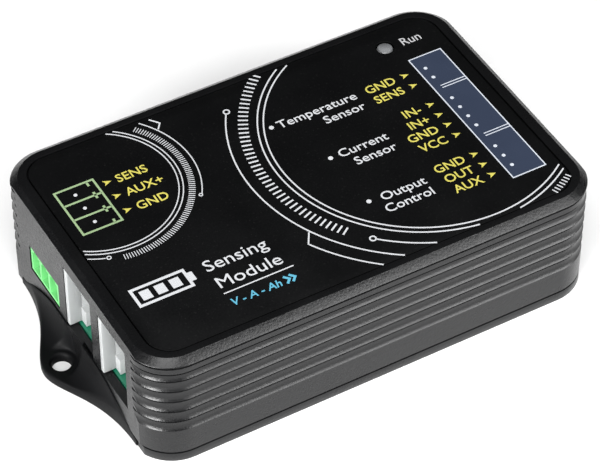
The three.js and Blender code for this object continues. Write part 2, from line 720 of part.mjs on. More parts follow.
function addPart(name, body, finishName) {
  const material = new THREE.MeshStandardMaterial(FINISHES[finishName]);
  const mesh = new THREE.Mesh(toGeometry(body), material);
  mesh.name = name;
  module_.add(mesh);
}

addPart('upper_cover', upperCover(), 'blackPlastic');
addPart('base_plate', basePlate(), 'blackPlastic');
addPart('top_label', topLabel(), 'labelBlack');
addPart('status_light_pipe', lightPipe(), 'opticClear');
addPart('circuit_board', circuitBoard(), 'boardGreen');

fourCorners(SCREW_X, SCREW_Y).forEach((corner, i) => {
  addPart(`case_screw_${i + 1}`, caseScrew(corner), 'steel');
});

addPart('power_header_housing', powerHousing(), 'greenPlastic');
for (let way = 0; way < POWER_WAYS; way += 1) {
  const pin = bentPin(POWER_FACE_X + 1.6, POWER_LEG_X, powerPinY(way), POWER_MID_Z, POWER_PIN);
  addPart(`power_header_pin_${way + 1}`, pin, 'tin');
}

SOCKET_Y.forEach((y, i) => {
  addPart(`bus_socket_${i + 1}_housing`, socketHousing(y), 'whitePlastic');
  for (let way = 0; way < CONTACTS; way += 1) {
    addPart(`bus_socket_${i + 1}_contact_${way + 1}`, socketContact(y, way), 'gold');
  }
});

for (const header of SIGNAL_HEADERS) {
  addPart(`${header.name}_housing`, signalHousing(header), 'whitePlastic');
  for (let way = 0; way < header.ways; way += 1) {
    const pin = bentPin(
      END_X - 2.6, SIGNAL_LEG_X, signalPinY(header, way), SIGNAL_MID_Z, SIGNAL_PIN,
    );
    addPart(`${header.name}_pin_${way + 1}`, pin, 'tin');
  }
}

for (const [name, finishName, build, sizes] of BOARD_PARTS) {
  addPart(name, build(sizes), finishName);
}

export default module_;
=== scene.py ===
"""Battery monitor module: the finished look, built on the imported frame."""
import math

import bmesh
import bpy
from mathutils import Matrix, Vector


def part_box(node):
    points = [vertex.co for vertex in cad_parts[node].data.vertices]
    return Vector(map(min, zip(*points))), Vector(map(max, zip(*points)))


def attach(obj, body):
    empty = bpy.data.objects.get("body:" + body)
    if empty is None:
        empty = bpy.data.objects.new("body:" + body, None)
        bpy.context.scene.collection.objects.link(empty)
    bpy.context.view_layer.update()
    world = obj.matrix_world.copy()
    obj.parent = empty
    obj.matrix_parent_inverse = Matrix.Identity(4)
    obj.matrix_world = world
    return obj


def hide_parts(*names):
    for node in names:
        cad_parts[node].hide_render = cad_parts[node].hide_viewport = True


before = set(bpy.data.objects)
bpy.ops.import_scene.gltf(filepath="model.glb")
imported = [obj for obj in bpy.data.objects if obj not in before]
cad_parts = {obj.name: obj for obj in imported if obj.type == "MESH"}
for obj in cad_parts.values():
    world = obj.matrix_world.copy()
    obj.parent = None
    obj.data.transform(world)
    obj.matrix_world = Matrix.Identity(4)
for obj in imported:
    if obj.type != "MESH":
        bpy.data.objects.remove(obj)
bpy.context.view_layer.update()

bl_info = {
    "name": "Battery monitor module",
    "version": (1, 0, 0),
    "blender": (4, 5, 0),
    "location": "View3D > Sidebar > Battery Monitor",
    "description": "Builds the case, the printed label, the connectors and the stage",
    "category": "Object",
}

MM = 0.001
BODY = "root"


# ---- places taken from the frame ----------------------------------------

def node_box(name):
    """Lowest and highest corner of a frame node, in millimetres."""
    low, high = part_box(name)
    return low / MM, high / MM


def node_middle(name):
    """Middle of a frame node, in metres."""
    low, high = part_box(name)
    return (low + high) / 2


COVER_LOW, COVER_HIGH = node_box("upper_cover")
LABEL_LOW, LABEL_HIGH = node_box("top_label")
PIPE_LOW, PIPE_HIGH = node_box("status_light_pipe")
PIPE_MIDDLE = (PIPE_LOW + PIPE_HIGH) / 2
SCREWS = [f"case_screw_{number}" for number in range(1, 5)]


# ---- settings a user would change ---------------------------------------

def colour_setting(name, text, value):
    return bpy.props.FloatVectorProperty(
        name=name, description=text, default=value, size=4,
        subtype="COLOR", min=0.0, max=1.0,
    )


def length_setting(name, text, value):
    return bpy.props.FloatProperty(
        name=name, description=text, default=value * MM,
        unit="LENGTH", precision=5, min=0.0,
    )


def count_setting(name, text, value):
    return bpy.props.IntProperty(name=name, description=text, default=value, min=1)


def amount_setting(name, text, value):
    return bpy.props.FloatProperty(name=name, description=text, default=value, min=0.0)


class MonitorCaseSettings(bpy.types.PropertyGroup):
    """Sizes and colour of the case."""

    corner_radius: length_setting("Corner radius", "Radius of the upright corners", 7.5)
    corner_steps: count_setting("Corner steps", "Facets in each upright corner", 20)
    rim_inset: length_setting("Rim width", "Width of the chamfer round the top", 1.4)
    rim_height: length_setting("Rim height", "Height of the chamfer", 1.15)
    band_inset: length_setting("Band inset", "Set-back of the plain band under the rim", 0.15)
    rib_count: count_setting("Ribs", "Steps moulded round the sides", 6)
    rib_pitch: length_setting("Rib pitch", "Height of one step", 2.32)
    rib_flare: length_setting("Rib flare", "Height of the hollow, flared foot of a step", 1.07)
    rib_depth: length_setting("Rib depth", "How deep each step cuts in", 0.35)
    groove: length_setting("Groove height", "Height of the groove under each ledge", 0.66)
    undercut: length_setting("Undercut", "How far the groove goes in past the step", 0.25)
    first_rib: length_setting("First rib", "Depth of the first ledge under the top", 4.1)
    end_inset: length_setting("End inset", "How far the flat end panels are set back", 0.4)
    ear_reach: length_setting("Ear reach", "How far each ear stands out of the end", 6.1)
    ear_root: length_setting("Ear root", "Half the width of an ear at the end panel", 20.5)
    ear_thick: length_setting("Ear thickness", "Thickness of the flat of an ear", 1.7)
    ramp_top: length_setting("Ramp top", "Height the ear's ramp climbs to at the end panel", 6.6)
    ramp_run: length_setting("Ramp run", "Length of the ear's ramp", 3.6)
    hole_reach: length_setting("Hole reach", "Distance of the fixing hole from the panel", 2.9)
    seat_radius: length_setting("Seat radius", "Radius of the flat round the fixing hole", 3.0)
    wall: length_setting("Wall", "Wall thickness of the cover", 1.9)
    colour: colour_setting("Plastic", "Colour of the case plastic", (0.0034, 0.0035, 0.0038, 1.0))
    roughness: amount_setting("Roughness", "Roughness of the case plastic", 0.29)


class MonitorLabelSettings(bpy.types.PropertyGroup):
    """Print and colours of the top label."""

    ink_height: length_setting("Ink height", "How far the print stands off the film", 0.03)
    line: length_setting("Line width", "Width of the drawn lines", 0.25)
    film: colour_setting("Film", "Colour of the label film", (0.0018, 0.0019, 0.0021, 1.0))
    white: colour_setting("White ink", "Colour of lines and words", (0.49, 0.50, 0.515, 1.0))
    yellow: colour_setting("Yellow ink", "Colour of the pin names", (0.50, 0.45, 0.09, 1.0))
    green: colour_setting("Green ink", "Colour of the header symbol", (0.25, 0.35, 0.19, 1.0))
    blue: colour_setting("Blue ink", "Colour of the small line of text", (0.09, 0.33, 0.45, 1.0))
    slate: colour_setting("Slate ink", "Colour of the pin field", (0.024, 0.033, 0.058, 1.0))


class MonitorConnectorSettings(bpy.types.PropertyGroup):
    """Colours and edges of the connectors and the circuit board."""

    edge: length_setting("Edge radius", "Rounding on the moulded edges", 0.12)
    nylon: colour_setting("Nylon", "Colour of the white housings", (0.30, 0.31, 0.31, 1.0))
    green: colour_setting("Green housing", "Colour of the header", (0.10, 0.40, 0.12, 1.0))
    mask: colour_setting("Solder mask", "Colour of the circuit board", (0.006, 0.12, 0.065, 1.0))


class MonitorStageSettings(bpy.types.PropertyGroup):
    """Floor, lights and camera."""

    floor: colour_setting("Floor", "Colour of the floor", (0.86, 0.86, 0.86, 1.0))
    key: amount_setting("Key light", "Power of the large front light, in watts", 13.0)
    overhead: amount_setting("Overhead light", "Power of the light above, in watts", 11.0)
    strip: amount_setting("Strip light", "Power of the low light at the left, in watts", 15.0)
    front: amount_setting("Front light", "Power of the high light in front, in watts", 3.3)
    room: amount_setting("Room light", "Strength of the even light all round", 0.04)
    lens: amount_setting("Lens", "Focal length in millimetres on a 36 mm sensor", 171.516)


# ---- mesh helpers -------------------------------------------------------

def link(name, mesh):
    piece = bpy.data.objects.new(name, mesh)
    bpy.context.scene.collection.objects.link(piece)
    return piece


def mesh_from(name, verts, faces):
    mesh = bpy.data.meshes.new(name)
    mesh.from_pydata([tuple(v) for v in verts], [], faces)
    mesh.update()
    return mesh


def tidy_mesh(mesh, angle=35.0, merge=2e-7):
    """Merges doubles, turns faces outwards and marks edges past the angle as sharp."""
    bm = bmesh.new()
    bm.from_mesh(mesh)
    bmesh.ops.remove_doubles(bm, verts=bm.verts, dist=merge)
    bmesh.ops.recalc_face_normals(bm, faces=bm.faces)
    limit = math.radians(angle)
    for face in bm.faces:
        face.smooth = True
    for edge in bm.edges:
        edge.smooth = len(edge.link_faces) == 2 and edge.calc_face_angle(0.0) < limit
    bm.to_mesh(mesh)
    bm.free()
    mesh.update()


def bake_modifiers(piece):
    """Puts the result of the modifiers into the mesh and takes the modifiers off."""
    bpy.context.view_layer.update()
    graph = bpy.context.evaluated_depsgraph_get()
    mesh = bpy.data.meshes.new_from_object(piece.evaluated_get(graph), depsgraph=graph)
    mesh.name = piece.name
    piece.modifiers.clear()
    old = piece.data
    piece.data = mesh
    if old.users == 0 and isinstance(old, bpy.types.Mesh):
        bpy.data.meshes.remove(old)


def add_bevel(piece, width, segments=2, angle=40.0):
    bevel = piece.modifiers.new("edges", "BEVEL")
    bevel.width = width
    bevel.segments = segments
    bevel.limit_method = "ANGLE"
    bevel.angle_limit = math.radians(angle)
    bevel.use_clamp_overlap = True
    bevel.miter_outer = "MITER_ARC"


def box_mesh(low, high):
    """A closed box between two corners in millimetres."""
    x0, y0, z0 = (v * MM for v in low)
    x1, y1, z1 = (v * MM for v in high)
    verts = [(x, y, z) for z in (z0, z1) for y in (y0, y1) for x in (x0, x1)]
    faces = [(0, 2, 3, 1), (4, 5, 7, 6), (0, 1, 5, 4), (2, 6, 7, 3), (0, 4, 6, 2), (1, 3, 7, 5)]
    return verts, faces


def cutter_from(name, verts, faces):
    """A hidden solid, to cut or join another with."""
    cutter = link(name, mesh_from(name, verts, faces))
    cutter.hide_render = True
    return cutter


def box_cutter(name, boxes):
    verts, faces = [], []
    for low, high in boxes:
        more, sides = box_mesh(low, high)
        faces += [tuple(i + len(verts) for i in side) for side in sides]
        verts += more
    return cutter_from(name, verts, faces)


def turned_cutter(name, centre, profile, count):
    return cutter_from(name, *stack(turned_rings(centre, profile, count)))


def combine(piece, other, operation="DIFFERENCE"):
    boolean = piece.modifiers.new("combine", "BOOLEAN")
    boolean.operation = operation
    boolean.solver = "EXACT"
    boolean.object = other


def drop(*pieces):
    for piece in pieces:
        mesh = piece.data
        bpy.data.objects.remove(piece)
        if mesh is not None and mesh.users == 0:
            bpy.data.meshes.remove(mesh)


def rounded_ring(half_x, half_y, radius, z, steps):
    """Points of a rounded rectangle at height z, in millimetres."""
    points = []
    for quarter, (sx, sy) in enumerate(((1, 1), (-1, 1), (-1, -1), (1, -1))):
        for step in range(steps + 1):
            a = math.pi / 2 * (quarter + step / steps)
            points.append((
                (sx * (half_x - radius) + radius * math.cos(a)) * MM,
                (sy * (half_y - radius) + radius * math.sin(a)) * MM,
                z * MM,
            ))
    return points


def turned_rings(centre, profile, count):
    """Rings about an upright axis through (radius, height) points, in millimetres."""
    turns = [2 * math.pi * step / count for step in range(count)]
    return [
        [((centre[0] + radius * math.cos(a)) * MM, (centre[1] + radius * math.sin(a)) * MM, z * MM)
         for a in turns]
        for radius, z in profile
    ]


def stack(rings):
    """A closed solid through rings with equal numbers of points."""
    count = len(rings[0])
    verts = [p for ring in rings for p in ring]
    faces = []
    for level in range(len(rings) - 1):
        low, high = level * count, (level + 1) * count
        for i in range(count):
            j = (i + 1) % count
            faces.append((low + i, low + j, high + j, high + i))
    faces.append(tuple(reversed(range(count))))
    top = (len(rings) - 1) * count
    faces.append(tuple(range(top, top + count)))
    return verts, faces


def finish_piece(piece, slot, *nodes):
    """Places a finished piece on the frame in the place of its nodes."""
    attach(piece, BODY)
    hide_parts(*nodes)


def paint(piece, material):
    piece.data.materials.clear()
    piece.data.materials.append(material)


def node_copy(name, piece_name, origin=Vector()):
    """A frame node's shape with its flat faces merged, moved so that origin comes to zero."""
    bm = bmesh.new()
    bm.from_mesh(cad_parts[name].data)
    bmesh.ops.remove_doubles(bm, verts=bm.verts, dist=2e-6)
    bmesh.ops.dissolve_limit(bm, angle_limit=math.radians(0.6), verts=bm.verts, edges=bm.edges)
    bmesh.ops.translate(bm, verts=bm.verts, vec=-origin)
    mesh = bpy.data.meshes.new(piece_name)
    bm.to_mesh(mesh)
    bm.free()
    for layer in list(mesh.uv_layers):
        mesh.uv_layers.remove(layer)
    return link(piece_name, mesh)


def round_edges(piece, material, width, segments=2, angle=40.0):
    """Rounds the piece's edges past an angle for good, and gives it its material."""
    add_bevel(piece, width, segments, angle)
    bake_modifiers(piece)
    tidy_mesh(piece.data, angle=38.0, merge=1e-7)
    paint(piece, material)


def softened_node(name, piece_name, material, slot, edge, angle=40.0):
    """A merged copy of a frame node with its moulded edges rounded."""
    piece = node_copy(name, piece_name)
    round_edges(piece, material, edge, angle=angle)
    finish_piece(piece, slot, name)


def repeated_node(piece_name, nodes, origin, edge, tree, values, material, slot):
    """One finished copy of the first node, repeated by a tree in the place of them all."""
    piece = node_copy(nodes[0], piece_name, origin)
    add_bevel(piece, edge)
    bake_modifiers(piece)
    apply_tree(piece, tree, {**values, "Material": material})
    tidy_mesh(piece.data, angle=35.0, merge=1e-7)
    paint(piece, material)
    finish_piece(piece, slot, *nodes)


# ---- geometry node helpers ----------------------------------------------

def feed(tree, socket, item):
    """Links an output to a socket, or sets the socket to a plain number."""
    if isinstance(item, (int, float)):
        socket.default_value = item
    elif item is not None:
        tree.links.new(item, socket)


def math_node(tree, operation, first, second=None, clamp=False):
    node = tree.nodes.new("ShaderNodeMath")
    node.operation = operation
    node.use_clamp = clamp
    for socket, item in zip(node.inputs, (first, second)):
        feed(tree, socket, item)
    return node.outputs[0]


class Tree:
    """A geometry node tree with named inputs, ending in Realize and Set Material."""

    def __init__(self, name, inputs):
        self.group = bpy.data.node_groups.new(name, "GeometryNodeTree")
        self.group.is_modifier = True
        face = self.group.interface
        face.new_socket("Geometry", in_out="INPUT", socket_type="NodeSocketGeometry")
        for label, kind in inputs:
            face.new_socket(label, in_out="INPUT", socket_type=kind)
        face.new_socket("Material", in_out="INPUT", socket_type="NodeSocketMaterial")
        face.new_socket("Geometry", in_out="OUTPUT", socket_type="NodeSocketGeometry")
        self.source = self.add("NodeGroupInput")

    def add(self, kind, **values):
        node = self.group.nodes.new(kind)
        for key, value in values.items():
            setattr(node, key, value)
        return node

    def join(self, output, target):
        self.group.links.new(output, target)

    def value(self, label):
        return self.source.outputs[label]

    def math(self, operation, first, second=None):
        return math_node(self.group, operation, first, second)

    def vector(self, x=0.0, y=0.0, z=0.0):
        node = self.add("ShaderNodeCombineXYZ")
        for socket, item in zip(node.inputs, (x, y, z)):
            feed(self.group, socket, item)
        return node.outputs[0]

    def repeat(self, points, shape):
        """Puts the shape on each point and ends the tree."""
        place = self.add("GeometryNodeInstanceOnPoints")
        self.join(points, place.inputs["Points"])
        self.join(shape, place.inputs["Instance"])
        return self.end(place.outputs["Instances"])

    def end(self, geometry):
        realize = self.add("GeometryNodeRealizeInstances")
        paint = self.add("GeometryNodeSetMaterial")
        sink = self.add("NodeGroupOutput")
        self.join(geometry, realize.inputs["Geometry"])
        self.join(realize.outputs["Geometry"], paint.inputs["Geometry"])
        self.join(self.value("Material"), paint.inputs["Material"])
        self.join(paint.outputs["Geometry"], sink.inputs["Geometry"])
        return self.group


def apply_tree(piece, group, values, after=None):
    """Runs a tree on the piece with the given inputs and keeps the plain mesh."""
    modifier = piece.modifiers.new(group.name, "NODES")
    modifier.node_group = group
    for item in group.interface.items_tree:
        if item.item_type == "SOCKET" and item.in_out == "INPUT" and item.name in values:
            modifier[item.identifier] = values[item.name]
    if after is not None:
        after(piece)
    bake_modifiers(piece)


def case_sweep_tree():
    """Sweeps the wall section round a rounded rectangle and closes it with a top plate."""
    tree = Tree("Ribbed case", (
        ("Length", "NodeSocketFloat"), ("Width", "NodeSocketFloat"),
        ("Corner Radius", "NodeSocketFloat"), ("Corner Steps", "NodeSocketInt"),
        ("Plate Inset", "NodeSocketFloat"), ("Plate Foot", "NodeSocketFloat"),
        ("Plate Top", "NodeSocketFloat"),
    ))

    def rounded_path(inset):
        quad = tree.add("GeometryNodeCurvePrimitiveQuadrilateral")
        fillet = tree.add("GeometryNodeFilletCurve")
        fillet.mode = "POLY"
        length, width, radius = (
            tree.value(label) for label in ("Length", "Width", "Corner Radius")
        )
        if inset is not None:
            twice = tree.math("MULTIPLY", inset, 2.0)
            length = tree.math("SUBTRACT", length, twice)
            width = tree.math("SUBTRACT", width, twice)
            radius = tree.math("SUBTRACT", radius, inset)
        tree.join(length, quad.inputs["Width"])
        tree.join(width, quad.inputs["Height"])
        tree.join(quad.outputs[0], fillet.inputs["Curve"])
        tree.join(radius, fillet.inputs["Radius"])
        tree.join(tree.value("Corner Steps"), fillet.inputs["Count"])
        return fillet.outputs[0]

    section = tree.add("GeometryNodeMeshToCurve")
    tree.join(tree.value("Geometry"), section.inputs["Mesh"])
    upright = tree.add("GeometryNodeSetCurveNormal", mode="Z_UP")
    tree.join(rounded_path(None), upright.inputs["Curve"])
    sweep = tree.add("GeometryNodeCurveToMesh")
    tree.join(upright.outputs["Curve"], sweep.inputs["Curve"])
    tree.join(section.outputs["Curve"], sweep.inputs["Profile Curve"])

    both = tree.add("GeometryNodeJoinGeometry")
    for height in ("Plate Foot", "Plate Top"):
        lift = tree.add("GeometryNodeTransform")
        tree.join(rounded_path(tree.value("Plate Inset")), lift.inputs["Geometry"])
        tree.join(tree.vector(z=tree.value(height)), lift.inputs["Translation"])
        tree.join(lift.outputs["Geometry"], both.inputs["Geometry"])
    hull = tree.add("GeometryNodeConvexHull")
    tree.join(both.outputs["Geometry"], hull.inputs["Geometry"])

    union = tree.add("GeometryNodeMeshBoolean", operation="UNION", solver="EXACT")
    tree.join(sweep.outputs["Mesh"], union.inputs["Mesh 2"])
    tree.join(hull.outputs["Convex Hull"], union.inputs["Mesh 2"])
    return tree.end(union.outputs["Mesh"])


def row_tree():
    """Repeats a shape along a straight row."""
    tree = Tree("Pin row", (
        ("Count", "NodeSocketInt"), ("Start", "NodeSocketVector"), ("Step", "NodeSocketVector"),
    ))
    row = tree.add("GeometryNodeMeshLine", mode="OFFSET")
    tree.join(tree.value("Count"), row.inputs["Count"])
    tree.join(tree.value("Start"), row.inputs["Start Location"])
    tree.join(tree.value("Step"), row.inputs["Offset"])
    return tree.repeat(row.outputs["Mesh"], tree.value("Geometry"))


def corner_tree():
    """Repeats a shape at the four corners of a rectangle."""
    tree = Tree("Screw corners", (("Size X", "NodeSocketFloat"), ("Size Y", "NodeSocketFloat")))
    grid = tree.add("GeometryNodeMeshGrid")
    grid.inputs["Vertices X"].default_value = 2
    grid.inputs["Vertices Y"].default_value = 2
    tree.join(tree.value("Size X"), grid.inputs["Size X"])
    tree.join(tree.value("Size Y"), grid.inputs["Size Y"])
    return tree.repeat(grid.outputs["Mesh"], tree.value("Geometry"))


def tick_tree():
    """Sets short printed bars along an arc, each pointing away from the centre."""
    tree = Tree("Tick ring", (
        ("Centre", "NodeSocketVector"), ("Radius", "NodeSocketFloat"),
        ("Start", "NodeSocketFloat"), ("End", "NodeSocketFloat"), ("Count", "NodeSocketInt"),
        ("Bar", "NodeSocketVector"),
    ))
    points = tree.add("GeometryNodePoints")
    index = tree.add("GeometryNodeInputIndex")
    last = tree.math("SUBTRACT", tree.value("Count"), 1.0)
    share = tree.math("DIVIDE", index.outputs[0], last)
    span = tree.math("SUBTRACT", tree.value("End"), tree.value("Start"))
    angle = tree.math("ADD", tree.value("Start"), tree.math("MULTIPLY", share, span))
    x = tree.math("MULTIPLY", tree.math("COSINE", angle), tree.value("Radius"))
    y = tree.math("MULTIPLY", tree.math("SINE", angle), tree.value("Radius"))
    place = tree.add("ShaderNodeVectorMath", operation="ADD")
    tree.join(tree.vector(x, y), place.inputs[0])
    tree.join(tree.value("Centre"), place.inputs[1])
    tree.join(tree.value("Count"), points.inputs["Count"])
    tree.join(place.outputs[0], points.inputs["Position"])
    bar = tree.add("GeometryNodeMeshCube")
    tree.join(tree.value("Bar"), bar.inputs["Size"])
    instance = tree.add("GeometryNodeInstanceOnPoints")
    tree.join(points.outputs[0], instance.inputs["Points"])
    tree.join(bar.outputs["Mesh"], instance.inputs["Instance"])
    tree.join(tree.vector(z=angle), instance.inputs["Rotation"])
    return tree.end(instance.outputs["Instances"])


# ---- material helpers ---------------------------------------------------

def shader_group(name, inputs, outputs):
    group = bpy.data.node_groups.new(name, "ShaderNodeTree")
    for label, kind, value in inputs:
        socket = group.interface.new_socket(label, in_out="INPUT", socket_type=kind)
        if value is not None:
            socket.default_value = value
    for label, kind in outputs:
        group.interface.new_socket(label, in_out="OUTPUT", socket_type=kind)
    return group, group.nodes.new("NodeGroupInput"), group.nodes.new("NodeGroupOutput")


def noise_node(tree, vector, scale, detail=2.0, rough=0.5):
    node = tree.nodes.new("ShaderNodeTexNoise")
    feed(tree, node.inputs["Scale"], scale)
    node.inputs["Detail"].default_value = detail
    node.inputs["Roughness"].default_value = rough
    tree.links.new(vector, node.inputs["Vector"])
    return node.outputs["Fac"]


def range_node(tree, value, low, high, to_low, to_high):
    node = tree.nodes.new("ShaderNodeMapRange")
    tree.links.new(value, node.inputs["Value"])
    for label, item in (
        ("From Min", low), ("From Max", high), ("To Min", to_low), ("To Max", to_high),
    ):
        feed(tree, node.inputs[label], item)
    return node.outputs["Result"]


def grain_group():
    """Fine pitted grain of a moulded or coated surface, with slow patches over it."""
    group, source, sink = shader_group(
        "Moulded grain",
        (
            ("Vector", "NodeSocketVector", None),
            ("Scale", "NodeSocketFloat", 4200.0),
            ("Roughness Low", "NodeSocketFloat", 0.4),
            ("Roughness High", "NodeSocketFloat", 0.6),
        ),
        [(label, "NodeSocketFloat") for label in ("Height", "Roughness", "Patches")],
    )
    vector = source.outputs["Vector"]
    scale = source.outputs["Scale"]
    fine = noise_node(group, vector, scale, 2.0, 0.6)
    coarse = noise_node(group, vector, math_node(group, "MULTIPLY", scale, 0.33), 2.0)

    def blend(first, share, second):
        one = math_node(group, "MULTIPLY", first, share)
        two = math_node(group, "MULTIPLY", second, 1 - share)
        return math_node(group, "ADD", one, two)

    patches = noise_node(group, vector, 95.0, 3.0, 0.55)
    low = source.outputs["Roughness Low"]
    high = source.outputs["Roughness High"]
    rough = range_node(group, blend(fine, 0.5, patches), 0.35, 0.65, low, high)
    group.links.new(blend(fine, 0.65, coarse), sink.inputs["Height"])
    group.links.new(rough, sink.inputs["Roughness"])
    group.links.new(patches, sink.inputs["Patches"])
    return group


def tint_group():
    """Moves a colour a little darker or lighter by patches, and adds fine pale dust."""
    group, source, sink = shader_group(
        "Shade and dust",
        (
            ("Vector", "NodeSocketVector", None),
            ("Colour", "NodeSocketColor", (0.5, 0.5, 0.5, 1.0)),
            ("Patches", "NodeSocketFloat", 0.5),
            ("Shade", "NodeSocketFloat", 0.15),
            ("Dust", "NodeSocketFloat", 0.0),
        ),
        (("Colour", "NodeSocketColor"),),
    )
    low = math_node(group, "SUBTRACT", 1.0, source.outputs["Shade"])
    high = math_node(group, "ADD", 1.0, source.outputs["Shade"])
    factor = range_node(group, source.outputs["Patches"], 0.3, 0.7, low, high)
    scaled = group.nodes.new("ShaderNodeVectorMath")
    scaled.operation = "SCALE"
    group.links.new(source.outputs["Colour"], scaled.inputs[0])
    group.links.new(factor, scaled.inputs["Scale"])
    specks = noise_node(group, source.outputs["Vector"], 2600.0, 1.0)
    mask = range_node(group, specks, 0.66, 0.74, 0.0, 1.0)
    dusty = math_node(group, "MULTIPLY", mask, source.outputs["Dust"], clamp=True)
    mix = group.nodes.new("ShaderNodeMix")
    mix.data_type = "RGBA"
    group.links.new(dusty, mix.inputs["Factor"])
    group.links.new(scaled.outputs[0], mix.inputs["A"])
    mix.inputs["B"].default_value = (0.45, 0.44, 0.42, 1.0)
    group.links.new(mix.outputs["Result"], sink.inputs["Colour"])
    return group


def place_group(tree, name, make, vector, **values):
    node = tree.nodes.new("ShaderNodeGroup")
    node.node_tree = bpy.data.node_groups.get(name) or make()
    tree.links.new(vector, node.inputs["Vector"])
    for label, value in values.items():
        node.inputs[label.replace("_", " ")].default_value = value
    return node


def surface(
    name, colour, rough=(0.4, 0.55), scale=4200.0, bump=0.15, depth=0.02, shade=0.12, dust=0.0,
    metallic=0.0, specular=0.5, coat=0.0, subsurface=0.0,
):
    """A moulded, coated or plated surface with its own grain, shade and dust."""
    if name in bpy.data.materials:
        return bpy.data.materials[name]
    material = bpy.data.materials.new(name)
    material.use_nodes = True
    tree = material.node_tree
    shader = tree.nodes["Principled BSDF"]
    where = tree.nodes.new("ShaderNodeTexCoord").outputs["Object"]
    grain = place_group(
        tree, "Moulded grain", grain_group, where, Scale=scale,
        Roughness_Low=rough[0], Roughness_High=rough[1],
    )
    tint = place_group(
        tree, "Shade and dust", tint_group, where, Colour=tuple(colour), Shade=shade, Dust=dust,
    )
    tree.links.new(grain.outputs["Patches"], tint.inputs["Patches"])
    tree.links.new(tint.outputs["Colour"], shader.inputs["Base Color"])
    tree.links.new(grain.outputs["Roughness"], shader.inputs["Roughness"])
    if bump > 0:
        relief = tree.nodes.new("ShaderNodeBump")
        relief.inputs["Strength"].default_value = bump
        relief.inputs["Distance"].default_value = depth * MM
        tree.links.new(grain.outputs["Height"], relief.inputs["Height"])
        tree.links.new(relief.outputs["Normal"], shader.inputs["Normal"])
    shader.inputs["Metallic"].default_value = metallic
    shader.inputs["Specular IOR Level"].default_value = specular
    shader.inputs["Coat Weight"].default_value = coat
    shader.inputs["Coat Roughness"].default_value = 0.15
    if subsurface > 0:
        shader.inputs["Subsurface Weight"].default_value = subsurface
        shader.inputs["Subsurface Radius"].default_value = (0.6 * MM, 0.6 * MM, 0.5 * MM)
        shader.inputs["Subsurface Scale"].default_value = 1.0
    material.diffuse_color = tuple(colour)
    return material


LOOKS = {
    "base plastic": dict(
        rough=(0.44, 0.58), scale=2600.0, bump=0.4, depth=0.04, shade=0.10, specular=0.07,
    ),
    "white nylon": dict(
        rough=(0.36, 0.48), scale=2500.0, bump=0.12, shade=0.04, subsurface=0.12,
    ),
    "green moulding": dict(
        rough=(0.34, 0.46), scale=2500.0, bump=0.12, shade=0.05, subsurface=0.05,
    ),
    "label film": dict(
        rough=(0.42, 0.56), scale=3000.0, bump=0.35, depth=0.03, dust=0.008, specular=0.16,
    ),
    "light pipe": dict(
        rough=(0.16, 0.28), scale=1500.0, bump=0.08, shade=0.05, coat=0.4, subsurface=0.1,
    ),
    "tinned brass": dict(
        rough=(0.22, 0.38), scale=3000.0, bump=0.1, depth=0.01, shade=0.08, metallic=1.0,
    ),
    "gold plate": dict(
        rough=(0.18, 0.32), scale=3000.0, bump=0.08, depth=0.01, shade=0.08, metallic=1.0,
    ),
    "screw steel": dict(rough=(0.24, 0.42), scale=2200.0, depth=0.015, metallic=1.0),
    "board laminate": dict(rough=(0.28, 0.42), scale=1800.0, shade=0.14, coat=0.3),
    "chip plastic": dict(rough=(0.45, 0.62), scale=3500.0, bump=0.3, depth=0.03, shade=0.1),
    "can aluminium": dict(rough=(0.22, 0.36), scale=1500.0, bump=0.1, shade=0.06, metallic=1.0),
    "ferrite": dict(rough=(0.55, 0.75), scale=1500.0, bump=0.4, depth=0.04, shade=0.15),
    "fuse body": dict(rough=(0.4, 0.55), scale=2000.0, bump=0.2, shade=0.08),
    "led resin": dict(rough=(0.12, 0.25), scale=1500.0, bump=0.05, shade=0.04, coat=0.5),
    "pale floor": dict(rough=(0.75, 0.9), scale=300.0, bump=0.0, shade=0.01, specular=0.1),
}


def look(name, red, green, blue):
    """A surface from the table of looks, in a colour."""
    return surface(name, (red, green, blue, 1.0), **LOOKS[name])


def case_plastic():
    case = bpy.context.scene.monitor_case
    return surface(
        "case plastic", case.colour, rough=(case.roughness - 0.06, case.roughness + 0.10),
        scale=2600.0, bump=0.85, depth=0.07, shade=0.10, dust=0.004, specular=0.34,
    )


def nylon():
    return look("white nylon", *bpy.context.scene.monitor_connector.nylon[:3])


def ink(name, red, green, blue):
    return surface(
        name, (red, green, blue, 1.0), rough=(0.42, 0.58), scale=5200.0, depth=0.01, shade=0.06,
        specular=0.3,
    )


# ---- the case -----------------------------------------------------------

# millimetres
WALL_REACH = 3.6   # how far in the swept wall reaches, under the top plate
BEAD = 0.05        # rounding of the ribs' outer edges
LIP = 0.03         # rounding inside a groove


def rib_steps(case, foot, top, steps=7):
    """One rib from its outer edge: a hollow flare, then an upright wall to the ledge above."""
    depth, flare = case.rib_depth / MM, case.rib_flare / MM
    groove, under = case.groove / MM, case.undercut / MM
    turn = 2 * math.atan(depth / flare)
    radius = flare / math.sin(turn)
    points = []
    for step in range(steps + 1):
        a = turn * (1 - step / steps)
        points.append((
            depth - radius * (1 - math.cos(a)), foot + flare - radius * math.sin(a),
        ))
    points += [
        (depth, top - groove), (depth + BEAD, top - groove + LIP),
        (depth + under, top - groove + 0.1), (depth + under, top - LIP),
        (depth + under - LIP, top),
    ]
    return points


